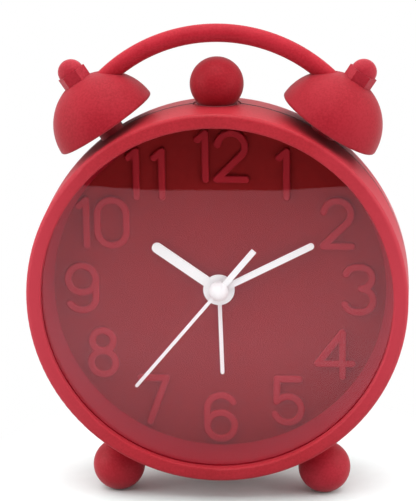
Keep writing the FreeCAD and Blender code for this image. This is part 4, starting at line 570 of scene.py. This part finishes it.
# Handle: a silicone rod bent over the top from bell to bell, its ends glued into their walls.
dress(moulded("silicone_extruded_rod", "9C1825", "AC2230", **RUBBER, cloud_mm=10.0,
              gloss_level=0.12, sheen=0.16), "handle")

# Table: a sheet of white card that the clock stands on. It ends a third of a metre in front of the
# clock in a shallow curve, and the darkness beyond its edge is what the lens mirrors above a line.
EDGE_DISTANCE, EDGE_BEND, EDGE_MIDDLE = 0.333, 2.6, -0.0246
EDGE_POINTS, EDGE_STEP, EDGE_REACH = 41, 0.05, 1.0
TABLE_HALF_WIDTH, TABLE_BACK, FIBRE_MM = 3.0, 3.5, 3.0
front_edge = []
for step in range(EDGE_POINTS):
    x = step * EDGE_STEP - EDGE_REACH
    front_edge.append((x, -EDGE_DISTANCE - EDGE_BEND * (x - EDGE_MIDDLE) ** 2, 0))
outline = [(TABLE_HALF_WIDTH, front_edge[-1][1], 0), (TABLE_HALF_WIDTH, TABLE_BACK, 0),
           (-TABLE_HALF_WIDTH, TABLE_BACK, 0), (-TABLE_HALF_WIDTH, front_edge[0][1], 0)]
outline += front_edge
mesh = bpy.data.meshes.new("table")
mesh.from_pydata(outline, [], [list(range(len(outline)))])
table = add_object("table", mesh)
card, tree, shader, place = finish("card_white_uncoated", roughness=0.85)
fibre = node(tree, "ShaderNodeTexNoise", Vector=place, Scale=per_mm(FIBRE_MM), Detail=3.0)
tint = node(tree, "ShaderNodeMix", {"data_type": "RGBA"}, i0=fibre.outputs["Fac"],
            i6=linear("F0F0F0"), i7=linear("F6F6F6"))
# Towards its front edge the table is further from the lamps, and so duller in the lens.
DULL_FROM, DULL_TO, DULLEST = -0.14, -0.34, 0.55
forward = node(tree, "ShaderNodeSeparateXYZ", Vector=place)
dull = node(tree, "ShaderNodeMapRange", Value=forward.outputs["Y"], From_Min=DULL_TO,
            From_Max=DULL_FROM, To_Min=DULLEST, To_Max=1.0)
faded = node(tree, "ShaderNodeMix", {"data_type": "RGBA", "blend_type": "MULTIPLY"}, i0=1.0,
             i6=tint.outputs[2], i7=dull.outputs["Result"])
# Close to the clock its red light falls on the card, and a cool tint painted into the card there
# takes the pink out again.
COOL_NEAR, COOL_FAR = 0.03, 0.065
away = node(tree, "ShaderNodeVectorMath", {"operation": "LENGTH"}, i0=place)
close = node(tree, "ShaderNodeMapRange", {"interpolation_type": "SMOOTHSTEP"},
             Value=away.outputs["Value"], From_Min=COOL_NEAR, From_Max=COOL_FAR)
cooled = node(tree, "ShaderNodeMix", {"data_type": "RGBA"}, i0=close.outputs["Result"],
              i6=linear("F0FBFA"), i7=linear("FFFFFF"))
# Right in front of the clock it lies in the clock's own shade, which only the lens mirrors.
SHADE_FROM, SHADE_TO, DARKEST_SHADE = -0.13, -0.045, 0.62
shade = node(tree, "ShaderNodeMapRange", Value=forward.outputs["Y"], From_Min=SHADE_FROM,
             From_Max=SHADE_TO, To_Min=1.0, To_Max=DARKEST_SHADE)
ray = node(tree, "ShaderNodeLightPath")
mirrored = node(tree, "ShaderNodeMath", {"operation": "MAXIMUM"}, i0=shade.outputs["Result"],
                i1=ray.outputs["Is Camera Ray"])
shaded = node(tree, "ShaderNodeMix", {"data_type": "RGBA", "blend_type": "MULTIPLY"}, i0=1.0,
              i6=faded.outputs[2], i7=mirrored.outputs[0])
balanced = node(tree, "ShaderNodeMix", {"data_type": "RGBA", "blend_type": "MULTIPLY"}, i0=1.0,
                i6=shaded.outputs[2], i7=cooled.outputs[2])
join(shader, Base_Color=balanced.outputs[2])
# Away from the clock and its shadow the card is plain white to the camera.
PLAIN_NEAR, PLAIN_FAR = 0.03, 0.066
far = node(tree, "ShaderNodeMapRange", {"interpolation_type": "SMOOTHSTEP"},
           Value=away.outputs["Value"], From_Min=PLAIN_NEAR, From_Max=PLAIN_FAR)
seen = node(tree, "ShaderNodeMath", {"operation": "MULTIPLY"}, i0=far.outputs["Result"],
            i1=ray.outputs["Is Camera Ray"])
white = node(tree, "ShaderNodeEmission", Color=linear("FFFFFF"), Strength=1.0)
surface = node(tree, "ShaderNodeMixShader", i0=seen.outputs[0], i1=shader.outputs[0],
               i2=white.outputs[0])
join(tree.nodes["Material Output"], Surface=surface.outputs[0])
table.data.materials.append(card)

# Room: white walls behind and beside the clock, darker on the side of the camera. They fade to
# nothing a little above the height of the table, and the camera itself sees plain white.
BACK_WALL, FRONT_WALL = 1.25, 0.35
FRONT_DIRECTION, BACK_DIRECTION, DARK_HEIGHT, BRIGHT_HEIGHT = -0.9, 0.1, 0.08, 0.32
world = bpy.data.worlds.new("studio")
bpy.context.scene.world = world
world.use_nodes = True
tree = world.node_tree
tree.nodes.clear()
way = node(tree, "ShaderNodeSeparateXYZ",
           Vector=node(tree, "ShaderNodeTexCoord").outputs["Generated"])
above = node(tree, "ShaderNodeMapRange", Value=way.outputs["Z"], From_Min=DARK_HEIGHT,
             From_Max=BRIGHT_HEIGHT)
facing = node(tree, "ShaderNodeMapRange", Value=way.outputs["Y"], From_Min=FRONT_DIRECTION,
              From_Max=BACK_DIRECTION, To_Min=FRONT_WALL, To_Max=BACK_WALL)
glow = node(tree, "ShaderNodeMath", {"operation": "MULTIPLY"}, i0=above.outputs["Result"],
            i1=facing.outputs["Result"])
walls = node(tree, "ShaderNodeBackground", Color=linear("FFFFFF"), Strength=glow.outputs[0])
plain = node(tree, "ShaderNodeBackground", Color=linear("FFFFFF"), Strength=1.0)
ray = node(tree, "ShaderNodeLightPath")
choice = node(tree, "ShaderNodeMixShader", i0=ray.outputs["Is Camera Ray"], i1=walls.outputs[0],
              i2=plain.outputs[0])
node(tree, "ShaderNodeOutputWorld", Surface=choice.outputs[0])

# Lamps: a large soft box overhead and slightly behind, one at each side a little in front, and one
# high over the camera. Each has its place, its width and height in metres, and its power in watts.
# Together they light a white surface to just about white.
LAMP_AIM = Vector((0, 0, 0.055))
LAMPS = (
    ("overhead_box", (0.0, 0.05, 0.90), 0.9, 0.7, 4.6),
    ("left_box", (-0.80, -0.22, 0.30), 0.5, 0.7, 3.9),
    ("right_box", (0.80, -0.22, 0.30), 0.5, 0.7, 3.5),
    ("front_box", (0.0, -0.50, 0.92), 0.9, 0.5, 4.0),
)
for name, spot, width, height, power in LAMPS:
    lamp = bpy.data.lights.new(name, "AREA")
    lamp.shape = "RECTANGLE"
    lamp.size, lamp.size_y, lamp.energy = width, height, power
    box = add_object(name, lamp)
    box.location = spot
    box.rotation_euler = (LAMP_AIM - Vector(spot)).to_track_quat("-Z", "Y").to_euler()

# Camera, fitted to the photograph: a long lens half a metre from the ring, looking down on it.
AZIMUTH, ELEVATION, ROLL = (math.radians(angle) for angle in (4.379, 17.052, -0.852))
DISTANCE, AIM_RIGHT, AIM_UP = 0.5, -0.00187, 0.01248
SENSOR, FOCAL_PIXELS, FRAME_HEIGHT = 36.0, 2085.4, 501
RING_CENTRE = Vector((0, -0.0193, 0.0520))
back = Vector((math.sin(AZIMUTH) * math.cos(ELEVATION), -math.cos(AZIMUTH) * math.cos(ELEVATION),
               math.sin(ELEVATION)))
right = Vector((math.cos(AZIMUTH), math.sin(AZIMUTH), 0))
upward = back.cross(right)
tilted_right = math.cos(ROLL) * right + math.sin(ROLL) * upward
tilted_up = math.cos(ROLL) * upward - math.sin(ROLL) * right
eye = RING_CENTRE + DISTANCE * back
aim = RING_CENTRE + AIM_RIGHT * tilted_right + AIM_UP * tilted_up
out = (eye - aim).normalized()
across = (tilted_right - tilted_right.dot(out) * out).normalized()
turned = Matrix((across, out.cross(across), out)).transposed().to_4x4()
camera = add_object("camera", bpy.data.cameras.new("camera"))
camera.data.sensor_width = SENSOR
camera.data.lens = SENSOR * FOCAL_PIXELS / FRAME_HEIGHT
camera.matrix_world = Matrix.Translation(eye) @ turned
bpy.context.scene.camera = camera
bpy.context.scene.view_settings.view_transform = "Standard"
